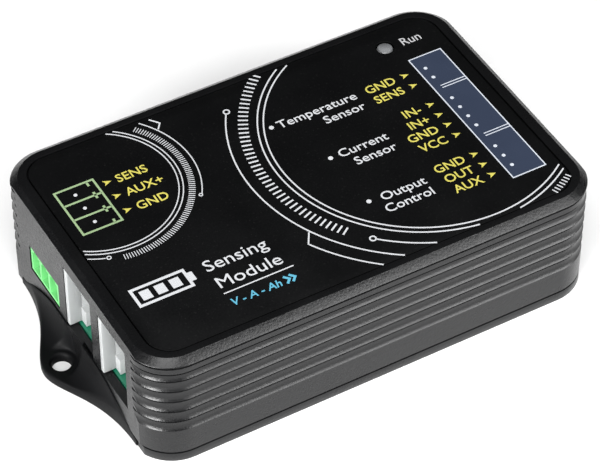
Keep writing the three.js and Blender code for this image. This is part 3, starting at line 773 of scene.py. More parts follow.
def wall_section(case, top, foot, ceiling):
    """Closed section of the cover's wall as (inset, height) points in millimetres."""
    pitch = case.rib_pitch / MM
    band = case.band_inset / MM
    rim_in, rim_high = case.rim_inset / MM, case.rim_height / MM
    first = top - case.first_rib / MM
    wall = case.wall / MM
    profile = [(BEAD, foot), (0.0, foot + BEAD)]
    for rib in range(case.rib_count - 1, 0, -1):
        ledge = first - (rib - 1) * pitch
        if rib < case.rib_count - 1:
            profile.append((BEAD, ledge - pitch))
        profile += rib_steps(case, ledge - pitch + BEAD / 2, ledge)
    profile.append((BEAD, first))
    first_top = first + 1.4
    slot_top, slot_in = first_top - 0.42, (case.rib_depth + case.undercut) / MM
    short = rib_steps(case, first + BEAD / 2, first_top)
    profile += [point for point in short[:-5] if point[1] < slot_top - 0.02]
    profile += [
        (case.rib_depth / MM, slot_top), (slot_in, slot_top + 0.08), (slot_in, first_top),
        (band + BEAD, first_top), (band, first_top + BEAD), (band, top - rim_high - 0.5),
        (band + 0.25, top - rim_high - 0.42), (band + 0.25, top - rim_high),
        (BEAD, top - rim_high), (0.0, top - rim_high + BEAD),
        (0.05, top - rim_high + 0.16), (0.12, top - rim_high + 0.24),
    ]
    profile += [
        (rim_in - 0.2, top - 0.13), (rim_in - 0.09, top - 0.04), (rim_in + 0.05, top),
        (WALL_REACH, top), (WALL_REACH, ceiling), (wall, ceiling), (wall, foot),
    ]
    return profile


def panel_boxes():
    """Boxes that flatten both ends."""
    end_x, half_y, top = COVER_HIGH.x, COVER_HIGH.y + 1, COVER_HIGH.z + 1
    beyond = end_x + 2.0
    return [((x, -half_y, -1), (x + 2.0, half_y, top)) for x in (end_x, -beyond)]


def end_boxes(case):
    """Boxes that close the rib grooves where they would come out at the end panels."""
    end_x, top, foot = COVER_HIGH.x, COVER_HIGH.z, COVER_LOW.z
    half_y = COVER_HIGH.y - case.corner_radius / MM + 0.7
    low, high = foot + 1.0, top - case.rim_height / MM - 0.02
    return [
        ((end_x - 1.2, -half_y, low), (end_x, half_y, high)),
        ((-end_x, -half_y, low), (1.2 - end_x, half_y, high)),
    ]


def window_boxes():
    """Boxes that open the windows for the connectors."""
    inner = COVER_HIGH.x - 3.0
    beyond = COVER_HIGH.x + 1.0
    gap, header_gap = 0.2, 0.3
    boxes = []
    for name in SOCKETS:
        low, high = node_box(f"{name}_housing")
        boxes.append((
            (-beyond - 1, low.y - gap, low.z - gap), (-inner, high.y + gap, high.z + gap),
        ))
    power_low, power_high = node_box("power_header_housing")
    middle = (power_low.y + power_high.y) / 2
    boxes.append(((-beyond - 1, middle - 5.3, 7.4), (-inner, middle + 5.3, 12.9)))
    for name in HEADERS:
        low, high = node_box(f"{name}_housing")
        boxes.append((
            (inner, low.y - header_gap, low.z - header_gap),
            (beyond + 1, high.y + header_gap, high.z + header_gap),
        ))
    return boxes


class MONITOR_OT_cover(bpy.types.Operator):
    """Builds the ribbed upper half of the case"""

    bl_idname = "monitor.cover"
    bl_label = "Upper cover"

    def execute(self, context):
        case = context.scene.monitor_case
        half_x, half_y = COVER_HIGH.x + case.end_inset / MM, COVER_HIGH.y
        top, foot = COVER_HIGH.z, COVER_LOW.z
        ceiling = PIPE_HIGH.z - 2.3
        section = wall_section(case, top, foot, ceiling)
        # the sweep turns the section's +X outwards and its +Y down
        verts = [(-inset * MM, -height * MM, 0.0) for inset, height in section]
        mesh = bpy.data.meshes.new("upper cover")
        mesh.from_pydata(verts, [(i, (i + 1) % len(verts)) for i in range(len(verts))], [])
        piece = link("upper_cover_shell", mesh)
        gap, depth = 0.3, 0.8
        recess = [
            rounded_ring(LABEL_HIGH.x + gap, LABEL_HIGH.y + gap, 4.5, z, 10)
            for z in (top - depth, top + 1)
        ]
        pipe = ((1.7, top - 4), (1.7, top + 4))
        tools = (
            (box_cutter("panel cutters", panel_boxes()), "DIFFERENCE"),
            (box_cutter("end panels", end_boxes(case)), "UNION"),
            (box_cutter("window cutters", window_boxes()), "DIFFERENCE"),
            (cutter_from("recess cutter", *stack(recess)), "DIFFERENCE"),
            (turned_cutter("pipe cutter", PIPE_MIDDLE, pipe, 40), "DIFFERENCE"),
        )

        def cuts(target):
            for tool, operation in tools:
                combine(target, tool, operation)

        apply_tree(piece, case_sweep_tree(), {
            "Length": 2 * half_x * MM, "Width": 2 * half_y * MM,
            "Corner Radius": case.corner_radius, "Corner Steps": case.corner_steps,
            "Plate Inset": (WALL_REACH - 0.5) * MM, "Plate Foot": (ceiling + 0.05) * MM,
            "Plate Top": (top - 0.2) * MM, "Material": case_plastic(),
        }, after=cuts)
        drop(*(tool for tool, operation in tools))
        add_bosses(piece, ceiling)
        tidy_mesh(piece.data, angle=16.0, merge=5e-7)
        paint(piece, case_plastic())
        finish_piece(piece, "case_plastic", "upper_cover")
        return {"FINISHED"}


def add_bosses(piece, ceiling):
    """Screw bosses with pilot holes that hang from the ceiling at the four screws."""
    bm = bmesh.new()
    bm.from_mesh(piece.data)
    foot = node_box("circuit_board")[1].z + 0.3
    for name in SCREWS:
        tip = node_box(name)[1].z
        profile = (
            (1.6, tip + 0.3), (1.6, foot), (3.2, foot), (3.3, foot + 0.1), (3.3, ceiling + 0.3),
        )
        verts, faces = stack(turned_rings(node_middle(name) / MM, profile, 32))
        verts = [bm.verts.new(vert) for vert in verts]
        for face in faces:
            bm.faces.new([verts[i] for i in face])
    bm.to_mesh(piece.data)
    bm.free()


def ear_edge(case, y):
    """How far the ear's bell outline stands out from the end panel at a place y along it."""
    root, waist, tip = case.ear_root / MM, 8.5, 4.5
    low, high = 0.0, 1.0
    for _ in range(40):
        t = (low + high) / 2
        s = 1 - t
        here = root * s ** 3 + 3 * waist * s * s * t + 3 * tip * s * t * t
        if here > abs(y):
            low = t
        else:
            high = t
    s = 1 - t
    return case.ear_reach / MM * (3 * s * t * t + t ** 3)


def ear_height(case, x, y):
    """Height of the ear's top at a point, x measured from the end panel."""
    flat, crest = case.ear_thick / MM, case.ramp_top / MM
    root, run = case.ear_root / MM, case.ramp_run / MM
    slope = max(0.0, 1 - max(0.0, x - 0.3) / run)
    fall = max(0.0, min(1.0, (root - abs(y)) / (root - 7.0)))
    fall = math.sin(fall * math.pi / 2) ** 1.3
    rise = (crest - flat) * fall * (1 - math.sqrt(max(0.0, 1 - slope * slope)))
    away = math.hypot(x - case.hole_reach / MM, y)
    seat = max(0.0, min(1.0, (away - case.seat_radius / MM + 0.3) / 1.0))
    return flat + rise * (3 * seat * seat - 2 * seat ** 3)


def ear_mesh(case, side):
    """A closed, finely divided ear that reaches a little into the base plate."""
    root = case.ear_root / MM
    rows, columns = 150, 46
    edge_round, start = 0.45, -0.5
    drops = [edge_round, 0.32, 0.2, 0.11, 0.05, 0.015, 0.0]
    bm = bmesh.new()
    tops, lows = [], []
    for row in range(rows + 1):
        y = -root + 2 * root * row / rows
        edge = ear_edge(case, y)
        inner = max(start + 0.3, edge - edge_round)
        xs = [start + (inner - start) * i / columns for i in range(columns)]
        xs += [inner + (edge - inner) * (1 - fall / edge_round) for fall in drops]
        top_row, low_row = [], []
        for x in xs:
            into = max(0.0, 1 - (edge - x) / edge_round)
            round_off = edge_round * (1 - math.sqrt(max(0.0, 1 - into * into)))
            z = ear_height(case, x, y) - round_off
            foot = 0.0 if into < 0.7 else 0.2 * (into - 0.7) / 0.3
            place = side * (COVER_HIGH.x + x) * MM
            top_row.append(bm.verts.new((place, y * MM, z * MM)))
            low_row.append(bm.verts.new((place, y * MM, foot * MM)))
        tops.append(top_row)
        lows.append(low_row)
    count = len(tops[0])
    for one, two, up, down in zip(tops, tops[1:], lows, lows[1:]):
        for i in range(count - 1):
            bm.faces.new((one[i], one[i + 1], two[i + 1], two[i]))
            bm.faces.new((up[i], down[i], down[i + 1], up[i + 1]))
        bm.faces.new((one[0], two[0], down[0], up[0]))
        bm.faces.new((one[-1], up[-1], down[-1], two[-1]))
    for top_row, low_row in ((tops[0], lows[0]), (tops[-1], lows[-1])):
        bm.faces.new(top_row + list(reversed(low_row)))
    bmesh.ops.recalc_face_normals(bm, faces=bm.faces)
    mesh = bpy.data.meshes.new("fixing ear")
    bm.to_mesh(mesh)
    bm.free()
    return mesh


class MONITOR_OT_base(bpy.types.Operator):
    """Builds the base plate with its two fixing ears"""

    bl_idname = "monitor.base"
    bl_label = "Base plate"

    def execute(self, context):
        case = context.scene.monitor_case
        plate = node_copy("base_plate", "base_plate_shell")
        round_edges(plate, case_plastic(), 0.12 * MM, angle=50.0)
        beyond = COVER_HIGH.x + 20
        ends = box_cutter("ear cutters", [
            ((COVER_HIGH.x - 0.3, -40, -5), (beyond, 40, 20)),
            ((-beyond, -40, -5), (0.3 - COVER_HIGH.x, 40, 20)),
        ])
        combine(plate, ends)
        bake_modifiers(plate)
        tidy_mesh(plate.data, angle=38.0, merge=1e-7)
        drop(ends)
        finish_piece(plate, "case_plastic", "base_plate")
        flat, bore, recess = case.ear_thick / MM, 1.65, 2.05
        profile = ((bore, -1.0), (bore, flat - 0.4), (recess, flat + 0.01), (recess, 12.0))
        for number, side in enumerate((-1, 1), start=1):
            ear = link(f"fixing_ear_{number}", ear_mesh(case, side))
            centre = (side * (COVER_HIGH.x + case.hole_reach / MM), 0.0)
            hole = turned_cutter("ear hole", centre, profile, 56)
            combine(ear, hole)
            bake_modifiers(ear)
            drop(hole)
            tidy_mesh(ear.data, angle=70.0, merge=1e-7)
            paint(ear, look("base plastic", *case.colour[:3]))
            finish_piece(ear, "case_plastic", "base_plate")
        return {"FINISHED"}


# ---- the label ----------------------------------------------------------

CAP_SHARE = 0.729   # height of a capital in a letter of size 1
SMALL_DIAL = (-26.5, 13.0)
BIG_DIAL = (27.1, 1.9)


def on_case(x, y):
    """The print is laid out from its own middle, which lies left of the case's."""
    return 1.004 * x - 3.8, y - 0.1


class Print:
    """Collects closed, very thin printed shapes of one ink.

    Places are given in the print's own millimetres; outline, bar and line take the case's.
    """

    def __init__(self, low, high):
        self.verts, self.faces = [], []
        self.low, self.high = low, high

    def outline(self, points):
        """A closed outline of (x, y) points in millimetres, wound either way."""
        base = len(self.verts)
        count = len(points)
        self.verts += [(x * MM, y * MM, self.low * MM) for x, y in points]
        self.verts += [(x * MM, y * MM, self.high * MM) for x, y in points]
        self.faces.append(tuple(base + i for i in reversed(range(count))))
        self.faces.append(tuple(base + count + i for i in range(count)))
        for i in range(count):
            j = (i + 1) % count
            self.faces.append((base + i, base + j, base + count + j, base + count + i))

    def bar(self, x0, y0, x1, y1):
        self.outline([(x0, y0), (x1, y0), (x1, y1), (x0, y1)])

    def rectangle(self, x0, y0, x1, y1):
        self.bar(*on_case(x0, y0), *on_case(x1, y1))

    def disc(self, x, y, radius, count=20):
        x, y = on_case(x, y)
        turn = 2 * math.pi / count
        self.outline([
            (x + radius * math.cos(i * turn), y + radius * math.sin(i * turn))
            for i in range(count)
        ])

    def line(self, points, width):
        """A ribbon of equal width along (x, y) points."""
        base = len(self.verts)
        for i, point in enumerate(points):
            here = Vector(point)
            before = here - Vector(points[i - 1]) if i > 0 else None
            after = Vector(points[i + 1]) - here if i + 1 < len(points) else None
            first = before if before is not None else after
            second = after if after is not None else before
            across = (first.normalized() + second.normalized()).normalized()
            normal = Vector((-across.y, across.x))
            half = width / 2 / max(0.3, across.dot(first.normalized()))
            for side in (here - normal * half, here + normal * half):
                self.verts.append((side.x * MM, side.y * MM, self.low * MM))
                self.verts.append((side.x * MM, side.y * MM, self.high * MM))
        last = base + 4 * (len(points) - 1)
        for start in range(base, last, 4):
            for one, two in ((0, 2), (2, 3), (3, 1), (1, 0)):
                self.faces.append((start + one, start + two, start + two + 4, start + one + 4))
        self.faces.append((base, base + 1, base + 3, base + 2))
        self.faces.append((last, last + 2, last + 3, last + 1))

    def ring(self, x, y, radius, width):
        """A full circle, as two half rings that meet."""
        x, y = on_case(x, y)
        for side in (0, 1):
            self.line([
                (x + radius * math.cos(math.pi * (side + i / 12)),
                 y + radius * math.sin(math.pi * (side + i / 12)))
                for i in range(13)
            ], width)

    def frame(self, x0, y0, x1, y1, width):
        """Four bars round a rectangle."""
        half = width / 2
        (x0, y0), (x1, y1) = on_case(x0, y0), on_case(x1, y1)
        for y in (y0, y1):
            self.bar(x0 - half, y - half, x1 + half, y + half)
        for x in (x0, x1):
            self.bar(x - half, y0 + half, x + half, y1 - half)

    def text(self, words, x, y, cap, align="LEFT", bold=0.0, slant=0.0, stretch=1.0):
        """Words with capitals cap high, centred on y and starting or ending at x."""
        x, y = on_case(x, y - cap / 2)
        curve = bpy.data.curves.new("words", "FONT")
        curve.body = words
        curve.size = 1.0
        curve.offset = bold
        curve.shear = slant
        curve.resolution_u = 3
        curve.extrude = 0.5
        curve.align_x = align
        holder = bpy.data.objects.new("words", curve)
        bpy.context.scene.collection.objects.link(holder)
        bpy.context.view_layer.update()
        graph = bpy.context.evaluated_depsgraph_get()
        mesh = bpy.data.meshes.new_from_object(holder.evaluated_get(graph), depsgraph=graph)
        size = cap / CAP_SHARE
        thick = self.high - self.low
        middle = (self.high + self.low) / 2
        base = len(self.verts)
        for vert in mesh.vertices:
            self.verts.append((
                (x + vert.co.x * size * stretch) * MM, (y + vert.co.y * size) * MM,
                (middle + vert.co.z * thick) * MM,
            ))
        for polygon in mesh.polygons:
            self.faces.append(tuple(base + i for i in polygon.vertices))
        bpy.data.objects.remove(holder)
        bpy.data.curves.remove(curve)
        bpy.data.meshes.remove(mesh)

    def build(self, name, material):
        mesh = mesh_from(name, self.verts, self.faces)
        tidy_mesh(mesh, angle=30.0, merge=2e-7)
        mesh.materials.append(material)
        return link(name, mesh)


def arc_points(centre, radius, start, end, steps=160):
    """Points of an arc, in degrees, as places on the case."""
    angles = [math.radians(start + (end - start) * i / steps) for i in range(steps + 1)]
    return [
        on_case(centre[0] + radius * math.cos(a), centre[1] + radius * math.sin(a))
        for a in angles
    ]


def runs_inside(points, half_x, half_y, radius):
    """Splits points into the runs that lie on the label."""
    runs, run = [], []
    for x, y in points:
        dx = abs(x) - (half_x - radius)
        dy = abs(y) - (half_y - radius)
        if dx > 0 and dy > 0:
            inside = math.hypot(dx, dy) <= radius
        else:
            inside = dx <= radius and dy <= radius
        if inside:
            run.append((x, y))
        elif len(run) > 1:
            runs.append(run)
            run = []
        else:
            run = []
    if len(run) > 1:
        runs.append(run)
    return runs


class MONITOR_OT_label(bpy.types.Operator):
    """Builds the film label in the recess of the cover, and the light pipe in it"""

    bl_idname = "monitor.label"
    bl_label = "Label film"

    def execute(self, context):
        label = context.scene.monitor_label
        radius = 4.2
        low, high = LABEL_LOW.z, LABEL_HIGH.z
        edge = ((0.06, low), (0.0, low + 0.06), (0.0, high - 0.1), (0.03, high - 0.03), (0.1, high))
        rings = [
            rounded_ring(LABEL_HIGH.x - inset, LABEL_HIGH.y - inset, radius - inset, z, 14)
            for inset, z in edge
        ]
        piece = link("label_film", mesh_from("label film", *stack(rings)))
        paint(piece, look("label film", *label.film[:3]))
        hole = turned_cutter("hole cutter", PIPE_MIDDLE, ((1.62, high - 2), (1.62, high + 2)), 48)
        combine(piece, hole)
        bake_modifiers(piece)
        drop(hole)
        tidy_mesh(piece.data, angle=35.0)
        finish_piece(piece, "label_film", "top_label")

        lens = look("light pipe", 0.16, 0.165, 0.17)
        softened_node("status_light_pipe", "status_light_lens", lens, "optic_plastic", 0.1 * MM)
        return {"FINISHED"}


def ink_layer():
    label = bpy.context.scene.monitor_label
    return Print(LABEL_HIGH.z - 0.02, LABEL_HIGH.z + label.ink_height / MM)


def printed(piece):
    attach(piece, BODY)


def tick_ring(name, centre, inner, outer, start, end, count, width, material):
    """A row of short bars round a dial, made by the tick tree."""
    label = bpy.context.scene.monitor_label
    thick = label.ink_height / MM + 0.02
    piece = link(name, bpy.data.meshes.new(name))
    height = LABEL_HIGH.z + label.ink_height / MM - thick / 2
    apply_tree(piece, bpy.data.node_groups.get("Tick ring") or tick_tree(), {
        "Centre": tuple(Vector((*on_case(*centre), height)) * MM),
        "Radius": (inner + outer) / 2 * MM, "Start": math.radians(start),
        "End": math.radians(end), "Count": count,
        "Bar": ((outer - inner) * MM, width * MM, thick * MM), "Material": material,
    })
    tidy_mesh(piece.data, angle=30.0)
    paint(piece, material)
    printed(piece)


class MONITOR_OT_dials(bpy.types.Operator):
    """Prints the two ring drawings and their tick marks"""

    bl_idname = "monitor.dials"
    bl_label = "Ring drawings"

    def execute(self, context):
        label = context.scene.monitor_label
        white = ink("white ink", *label.white[:3])
        line = label.line / MM
        lines = ink_layer()
        edge = (LABEL_HIGH.x - 0.08, LABEL_HIGH.y - 0.02, 4.2)

        def arc(centre, radius, start, end, width=line):
            for run in runs_inside(arc_points(centre, radius, start, end), *edge):
                lines.line(run, width)

        def path(points):
            lines.line([on_case(*point) for point in points], line)

        arc(SMALL_DIAL, 13.5, 75, -160, 0.19)
        arc(SMALL_DIAL, 14.2, 75, -160, 0.19)
        arc(SMALL_DIAL, 17.2, 38.6, -31.2, 0.19)
        arc(SMALL_DIAL, 15.2, -110.5, -122.5, 0.16)
        path([(-11.2, 23.7), (-10.0, 22.1), (-10.9, 20.9)])
        lines.ring(-12.1, 3.9, 0.28, 0.16)
        lines.ring(-31.3, -1.4, 0.34, 0.16)
        arc(BIG_DIAL, 25.2, 112, 318)
        arc(BIG_DIAL, 26.2, 112, 318)
        arc(BIG_DIAL, 31.4, 148.2, 236)
        arc(BIG_DIAL, 33.9, 208.7, 231)
        arc(BIG_DIAL, 28.6, 226.0, 246)
        path([(-1.3, -12.1), (-2.7, -14.4)])
        lines.ring(0.8, 19.0, 0.5, line)
        lines.ring(6.8, -18.3, 0.5, line)
        printed(lines.build("print_ring_lines", white))
        tick_ring("print_small_ticks", SMALL_DIAL, 15.1, 16.2, 38.5, -99.5, 84, 0.13, white)
        tick_ring("print_big_ticks", BIG_DIAL, 27.8, 29.5, 128.6, 215.5, 44, 0.3, white)
        tick_ring("print_end_ticks", BIG_DIAL, 27.1, 28.2, -67.5, -58.5, 7, 0.2, white)
        return {"FINISHED"}


class MONITOR_OT_words(bpy.types.Operator):
    """Prints the plain words, pin names and arrows"""

    bl_idname = "monitor.words"
    bl_label = "Words and arrows"

    def execute(self, context):
        label = context.scene.monitor_label
        white = ink_layer()

        for words, right, row in (
            ("Temperature", 21.4, 12.0), ("Sensor", 21.4, 9.2), ("Current", 20.9, 1.1),
            ("Sensor", 20.9, -1.7), ("Output", 20.9, -10.9), ("Control", 20.9, -13.6),
        ):
            white.text(words, right, row, 1.85, "RIGHT", bold=0.004, stretch=1.10)
        for x, y in ((5.4, 12.0), (10.2, 0.9), (10.5, -10.8)):
            white.disc(x, y, 0.42)
        white.text("Sensing", -19.5, -10.6, 2.5, stretch=1.1)
        white.text("Module", -19.5, -14.7, 2.5, stretch=1.12)
        white.rectangle(-19.4, -17.3, -7.0, -17.1)
        for y in (13.8, 10.4, 6.9):
            white.disc(-29.6, y, 0.32)
        battery_symbol(white)
        printed(white.build("print_white_words", ink("white ink", *label.white[:3])))

        grey = ink_layer()
        grey.text("Run", 34.6, 19.6, 1.9, stretch=0.95)
        printed(grey.build("print_status_word", ink("grey ink", 0.42, 0.42, 0.43)))

        yellow = ink_layer()
        for words, row in (("SENS", 13.9), ("AUX+", 10.4), ("GND", 6.7)):
            yellow.text(words, -22.3, row, 1.85, bold=0.006)
            arrow(yellow, -24.5, row)
        rows = (
            ("GND", 12.0), ("SENS", 9.2), ("IN-", 3.8), ("IN+", 1.0), ("GND", -1.7),
            ("VCC", -4.5), ("GND", -9.9), ("OUT", -12.6), ("AUX", -15.3),
        )
        for words, row in rows:
            yellow.text(words, 29.0, row, 1.85, "RIGHT", bold=0.006)
            arrow(yellow, 30.3, row)
        printed(yellow.build("print_pin_names", ink("yellow ink", *label.yellow[:3])))

        blue = ink_layer()
        blue.text("V - A - Ah", -19.4, -19.4, 1.55, bold=0.012, slant=0.2)
        for shift in (0.0, 1.0):
            x = -9.7 + shift
            chevron = ((x, -18.6), (x + 0.75, -19.4), (x, -20.2))
            blue.line([on_case(*point) for point in chevron], 0.42)
        printed(blue.build("print_unit_words", ink("blue ink", *label.blue[:3])))
        return {"FINISHED"}


def arrow(layer, x, y):
    """A small pointer with a notched back."""
    points = ((x, y + 0.6), (x + 1.35, y), (x, y - 0.6), (x + 0.35, y))
    layer.outline([on_case(*point) for point in points])


def battery_symbol(layer):
    """A plain battery sign: an outlined cell with three bars and a terminal."""
    x0, x1, y0, y1 = -31.8, -22.6, -13.2, -9.5
    layer.frame(x0, y0, x1, y1, 0.5)
    layer.rectangle(x1 + 0.25, -12.3, x1 + 1.1, -10.4)
    for bar in range(3):
        left = x0 + 1.0 + bar * 2.6
        layer.rectangle(left, y0 + 0.85, left + 1.7, y1 - 0.85)


class MONITOR_OT_symbols(bpy.types.Operator):
    """Prints the header symbols beside the pin names"""

    bl_idname = "monitor.symbols"
    bl_label = "Header symbols"

    def execute(self, context):
        label = context.scene.monitor_label
        green = ink_layer()
        green.frame(-32.5, 5.1, -25.6, 15.7, 0.36)
        for y in (12.25, 8.7):
            green.rectangle(-32.4, y - 0.18, -25.7, y + 0.18)
            green.rectangle(-27.0, y - 0.75, -26.6, y + 0.75)
        for y in (15.0, 5.6):
            green.rectangle(-27.0, y - 0.4, -26.6, y + 0.4)
        printed(green.build("print_green_symbol", ink("green ink", *label.green[:3])))

        slate = ink_layer()
        slate.high -= 0.012
        slate.rectangle(33.5, -17.7, 39.7, 14.9)
        printed(slate.build("print_pin_field", ink("slate ink", *label.slate[:3])))

        pale = ink_layer()
        pale.frame(33.5, -17.7, 39.7, 14.9, 0.2)
        for y in (6.95, 6.35, -6.5, -7.1):
            pale.rectangle(34.9, y - 0.09, 39.6, y + 0.09)
        for y in (11.87, 9.33, 3.45, 0.91, -1.63, -4.17, -9.94, -12.48, -15.02):
            pale.disc(34.9502, y, 0.33)
        printed(pale.build("print_pin_marks", ink("pale ink", 0.50, 0.53, 0.58)))
        return {"FINISHED"}


# ---- the connectors -----------------------------------------------------

SOCKETS = {"bus_socket_1": 4, "bus_socket_2": 4}   # ways
HEADERS = {"temperature_header": 2, "current_header": 4, "output_header": 3}


class MONITOR_OT_housings(bpy.types.Operator):
    """Builds the housings of the power header, the bus sockets and the signal headers"""

    bl_idname = "monitor.housings"
    bl_label = "Connector housings"

    def execute(self, context):
        settings = context.scene.monitor_connector
        edge = settings.edge
        green = look("green moulding", *settings.green[:3])
        softened_node("power_header_housing", "power_header_shell", green, "green_plastic", edge)
        for name in (*SOCKETS, *HEADERS):
            softened_node(f"{name}_housing", f"{name}_shell", nylon(), "white_plastic", edge)
            if name in SOCKETS:
                add_cheek(name)
        return {"FINISHED"}


def add_cheek(name):
    """A smooth inner cheek at the back of a bus socket, flush with the end panel."""
    low, high = node_box(f"{name}_housing")
    thick, proud, length = 0.84, 0.12, 2.35
    start = 0.05 - COVER_HIGH.x
    verts, faces = box_mesh(
        (start, high.y - thick, low.z + 0.02), (start + length, high.y + proud, high.z - 0.05),
    )
    cheek = link(f"{name}_cheek", mesh_from("socket cheek", verts, faces))
    round_edges(cheek, nylon(), 0.16 * MM, 3)
    finish_piece(cheek, "white_plastic", f"{name}_housing")


class MONITOR_OT_pins(bpy.types.Operator):
    """Builds the rows of pins and spring contacts"""

    bl_idname = "monitor.pins"
    bl_label = "Pins and contacts"

    def execute(self, context):
        tin = look("tinned brass", 0.62, 0.61, 0.58)
        gold = look("gold plate", 0.85, 0.60, 0.22)
        rows = [
            (name, "pin", count, tin, "tinned_brass", 0.06)
            for name, count in (("power_header", 3), *HEADERS.items())
        ]
        rows += [
            (name, "contact", count, gold, "gold_plate", 0.05) for name, count in SOCKETS.items()
        ]
        for name, kind, count, metal, slot, edge in rows:
            nodes = [f"{name}_{kind}_{number}" for number in range(1, count + 1)]
            start = node_middle(nodes[0])
            values = {
                "Count": count, "Start": tuple(start),
                "Step": tuple(node_middle(nodes[1]) - start),
            }
            tree = bpy.data.node_groups.get("Pin row") or row_tree()
            repeated_node(f"{name}_{kind}s", nodes, start, edge * MM, tree, values, metal, slot)
        return {"FINISHED"}


class MONITOR_OT_screws(bpy.types.Operator):
    """Builds the four case screws under the base"""

    bl_idname = "monitor.screws"
    bl_label = "Case screws"

    def execute(self, context):
        steel = look("screw steel", 0.30, 0.30, 0.31)
        middles = [node_middle(name) for name in SCREWS]
        values = {
            "Size X": max(m.x for m in middles) - min(m.x for m in middles),
            "Size Y": max(m.y for m in middles) - min(m.y for m in middles),
        }
        origin = Vector((middles[0].x, middles[0].y, 0.0))
        repeated_node(
            "case_screws", SCREWS, origin, 0.12 * MM, corner_tree(), values, steel, "screw_steel",
        )
        return {"FINISHED"}


# ---- the circuit board --------------------------------------------------

CHIPS = (
    "microcontroller", "measuring_converter", "current_sense_amplifier", "bus_transceiver",
    "signal_isolator", "buck_regulator", "low_voltage_regulator", "output_transistor",
    "reverse_polarity_diode", "surge_suppressor",
)


BOARD_PARTS = (
    ("chip plastic", (0.016, 0.016, 0.017), "chip_plastic", "body", 0.08, CHIPS),
    ("can aluminium", (0.68, 0.69, 0.70), "can_aluminium", "can", 0.15,
     ("input_capacitor", "output_capacitor", "clock_crystal")),
    ("ferrite", (0.032, 0.032, 0.034), "ferrite", "core", 0.2, ("buck_inductor",)),
    ("fuse body", (0.52, 0.48, 0.36), "fuse_body", "body", 0.08, ("input_fuse",)),
    ("led resin", (0.62, 0.66, 0.52), "led_plastic", "lens", 0.08, ("status_led",)),
)


class MONITOR_OT_board(bpy.types.Operator):
    """Finishes the circuit board and the parts soldered to it"""

    bl_idname = "monitor.board"
    bl_label = "Circuit board"

    def execute(self, context):
        mask = context.scene.monitor_connector.mask
        laminate = look("board laminate", *mask[:3])
        softened_node(
            "circuit_board", "circuit_board_laminate", laminate, "board_laminate", 0.06 * MM,
        )
        for material, colour, slot, suffix, edge, names in BOARD_PARTS:
            material = look(material, *colour)
            for name in names:
                softened_node(name, f"{name}_{suffix}", material, slot, edge * MM)
        return {"FINISHED"}


# ---- the stage ----------------------------------------------------------

def soft_light(name, place, size, power):
    """A rectangular light that faces the object."""
    lamp = bpy.data.lights.new(name, "AREA")
    lamp.shape = "RECTANGLE"
    lamp.size, lamp.size_y = size
    lamp.energy = power
    holder = bpy.data.objects.new(name, lamp)
    bpy.context.scene.collection.objects.link(holder)
    holder.location = place
    aim = Vector((0.0, 0.0, 0.01)) - Vector(place)
    holder.rotation_euler = aim.to_track_quat("-Z", "Y").to_euler()


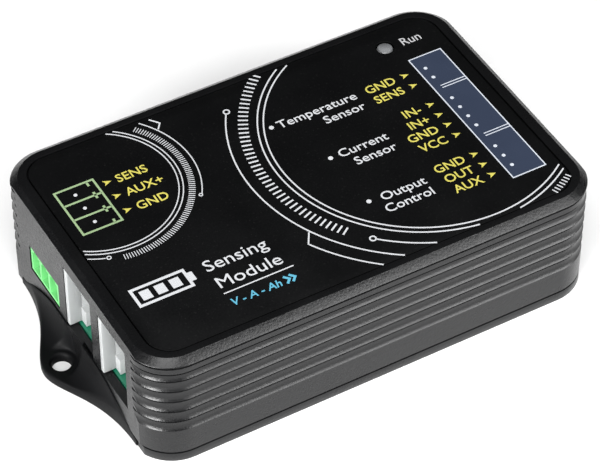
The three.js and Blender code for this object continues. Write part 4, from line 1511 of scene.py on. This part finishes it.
class MONITOR_OT_stage(bpy.types.Operator):
    """Sets the floor, the lights and the camera"""

    bl_idname = "monitor.stage"
    bl_label = "Stage"

    def execute(self, context):
        stage = context.scene.monitor_stage
        size = 2.5
        floor_mesh = mesh_from(
            "floor", [(-size, -size, 0), (size, -size, 0), (size, size, 0), (-size, size, 0)],
            [(0, 1, 2, 3)],
        )
        floor = link("floor", floor_mesh)
        paint(floor, look("pale floor", *stage.floor[:3]))

        world = bpy.data.worlds.new("soft room")
        world.use_nodes = True
        background = world.node_tree.nodes["Background"]
        background.inputs["Color"].default_value = (1.0, 1.0, 1.0, 1.0)
        background.inputs["Strength"].default_value = stage.room
        context.scene.world = world
        soft_light("key", (0.50, -0.76, 0.24), (0.80, 0.50), stage.key)
        soft_light("overhead", (-0.34, -0.45, 0.85), (0.70, 0.70), stage.overhead)
        soft_light("strip", (-0.80, -0.36, 0.21), (0.42, 0.36), stage.strip)
        soft_light("front", (0.36, -0.68, 0.58), (0.50, 0.30), stage.front)

        azimuth, elevation, roll = (math.radians(v) for v in (-29.8156, 45.3696, 0.0772))
        back = Vector((
            math.sin(azimuth) * math.cos(elevation), -math.cos(azimuth) * math.cos(elevation),
            math.sin(elevation),
        ))
        across = Vector((math.cos(azimuth), math.sin(azimuth), 0.0))
        upward = back.cross(across)
        right = across * math.cos(roll) + upward * math.sin(roll)
        up = upward * math.cos(roll) - across * math.sin(roll)
        place = (back * 479.009 + right * 0.2268 + up * 5.8844) * MM
        camera_data = bpy.data.cameras.new("camera")
        camera_data.sensor_width = 36.0
        camera_data.lens = stage.lens
        camera_data.clip_start = 0.01
        camera_data.clip_end = 20.0
        camera = bpy.data.objects.new("camera", camera_data)
        context.scene.collection.objects.link(camera)
        turn = Matrix((right, up, back)).transposed().to_4x4()
        camera.matrix_world = Matrix.Translation(place) @ turn
        context.scene.camera = camera
        context.scene.view_settings.view_transform = "Standard"
        return {"FINISHED"}


# ---- panel and registration ---------------------------------------------

OPERATORS = (
    MONITOR_OT_stage, MONITOR_OT_cover, MONITOR_OT_base, MONITOR_OT_label, MONITOR_OT_dials,
    MONITOR_OT_words, MONITOR_OT_symbols, MONITOR_OT_housings, MONITOR_OT_pins,
    MONITOR_OT_screws, MONITOR_OT_board,
)


class MONITOR_PT_panel(bpy.types.Panel):
    """Lists the steps that build the module"""

    bl_idname = "MONITOR_PT_panel"
    bl_label = "Battery Monitor"
    bl_space_type = "VIEW_3D"
    bl_region_type = "UI"
    bl_category = "Battery Monitor"

    def draw(self, context):
        for operator in OPERATORS:
            self.layout.operator(operator.bl_idname)


SETTINGS = (
    (MonitorCaseSettings, "monitor_case"), (MonitorLabelSettings, "monitor_label"),
    (MonitorConnectorSettings, "monitor_connector"), (MonitorStageSettings, "monitor_stage"),
)


def register():
    for group, name in SETTINGS:
        bpy.utils.register_class(group)
        setattr(bpy.types.Scene, name, bpy.props.PointerProperty(type=group))
    for operator in OPERATORS:
        bpy.utils.register_class(operator)
    bpy.utils.register_class(MONITOR_PT_panel)


def unregister():
    bpy.utils.unregister_class(MONITOR_PT_panel)
    for operator in reversed(OPERATORS):
        bpy.utils.unregister_class(operator)
    for group, name in reversed(SETTINGS):
        delattr(bpy.types.Scene, name)
        bpy.utils.unregister_class(group)


def main():
    register()
    for operator in OPERATORS:
        area, step = operator.bl_idname.split(".")
        result = getattr(getattr(bpy.ops, area), step)()
        if "FINISHED" not in result:
            raise RuntimeError(f"{operator.bl_label} was not built")


if __name__ == "__main__":
    main()
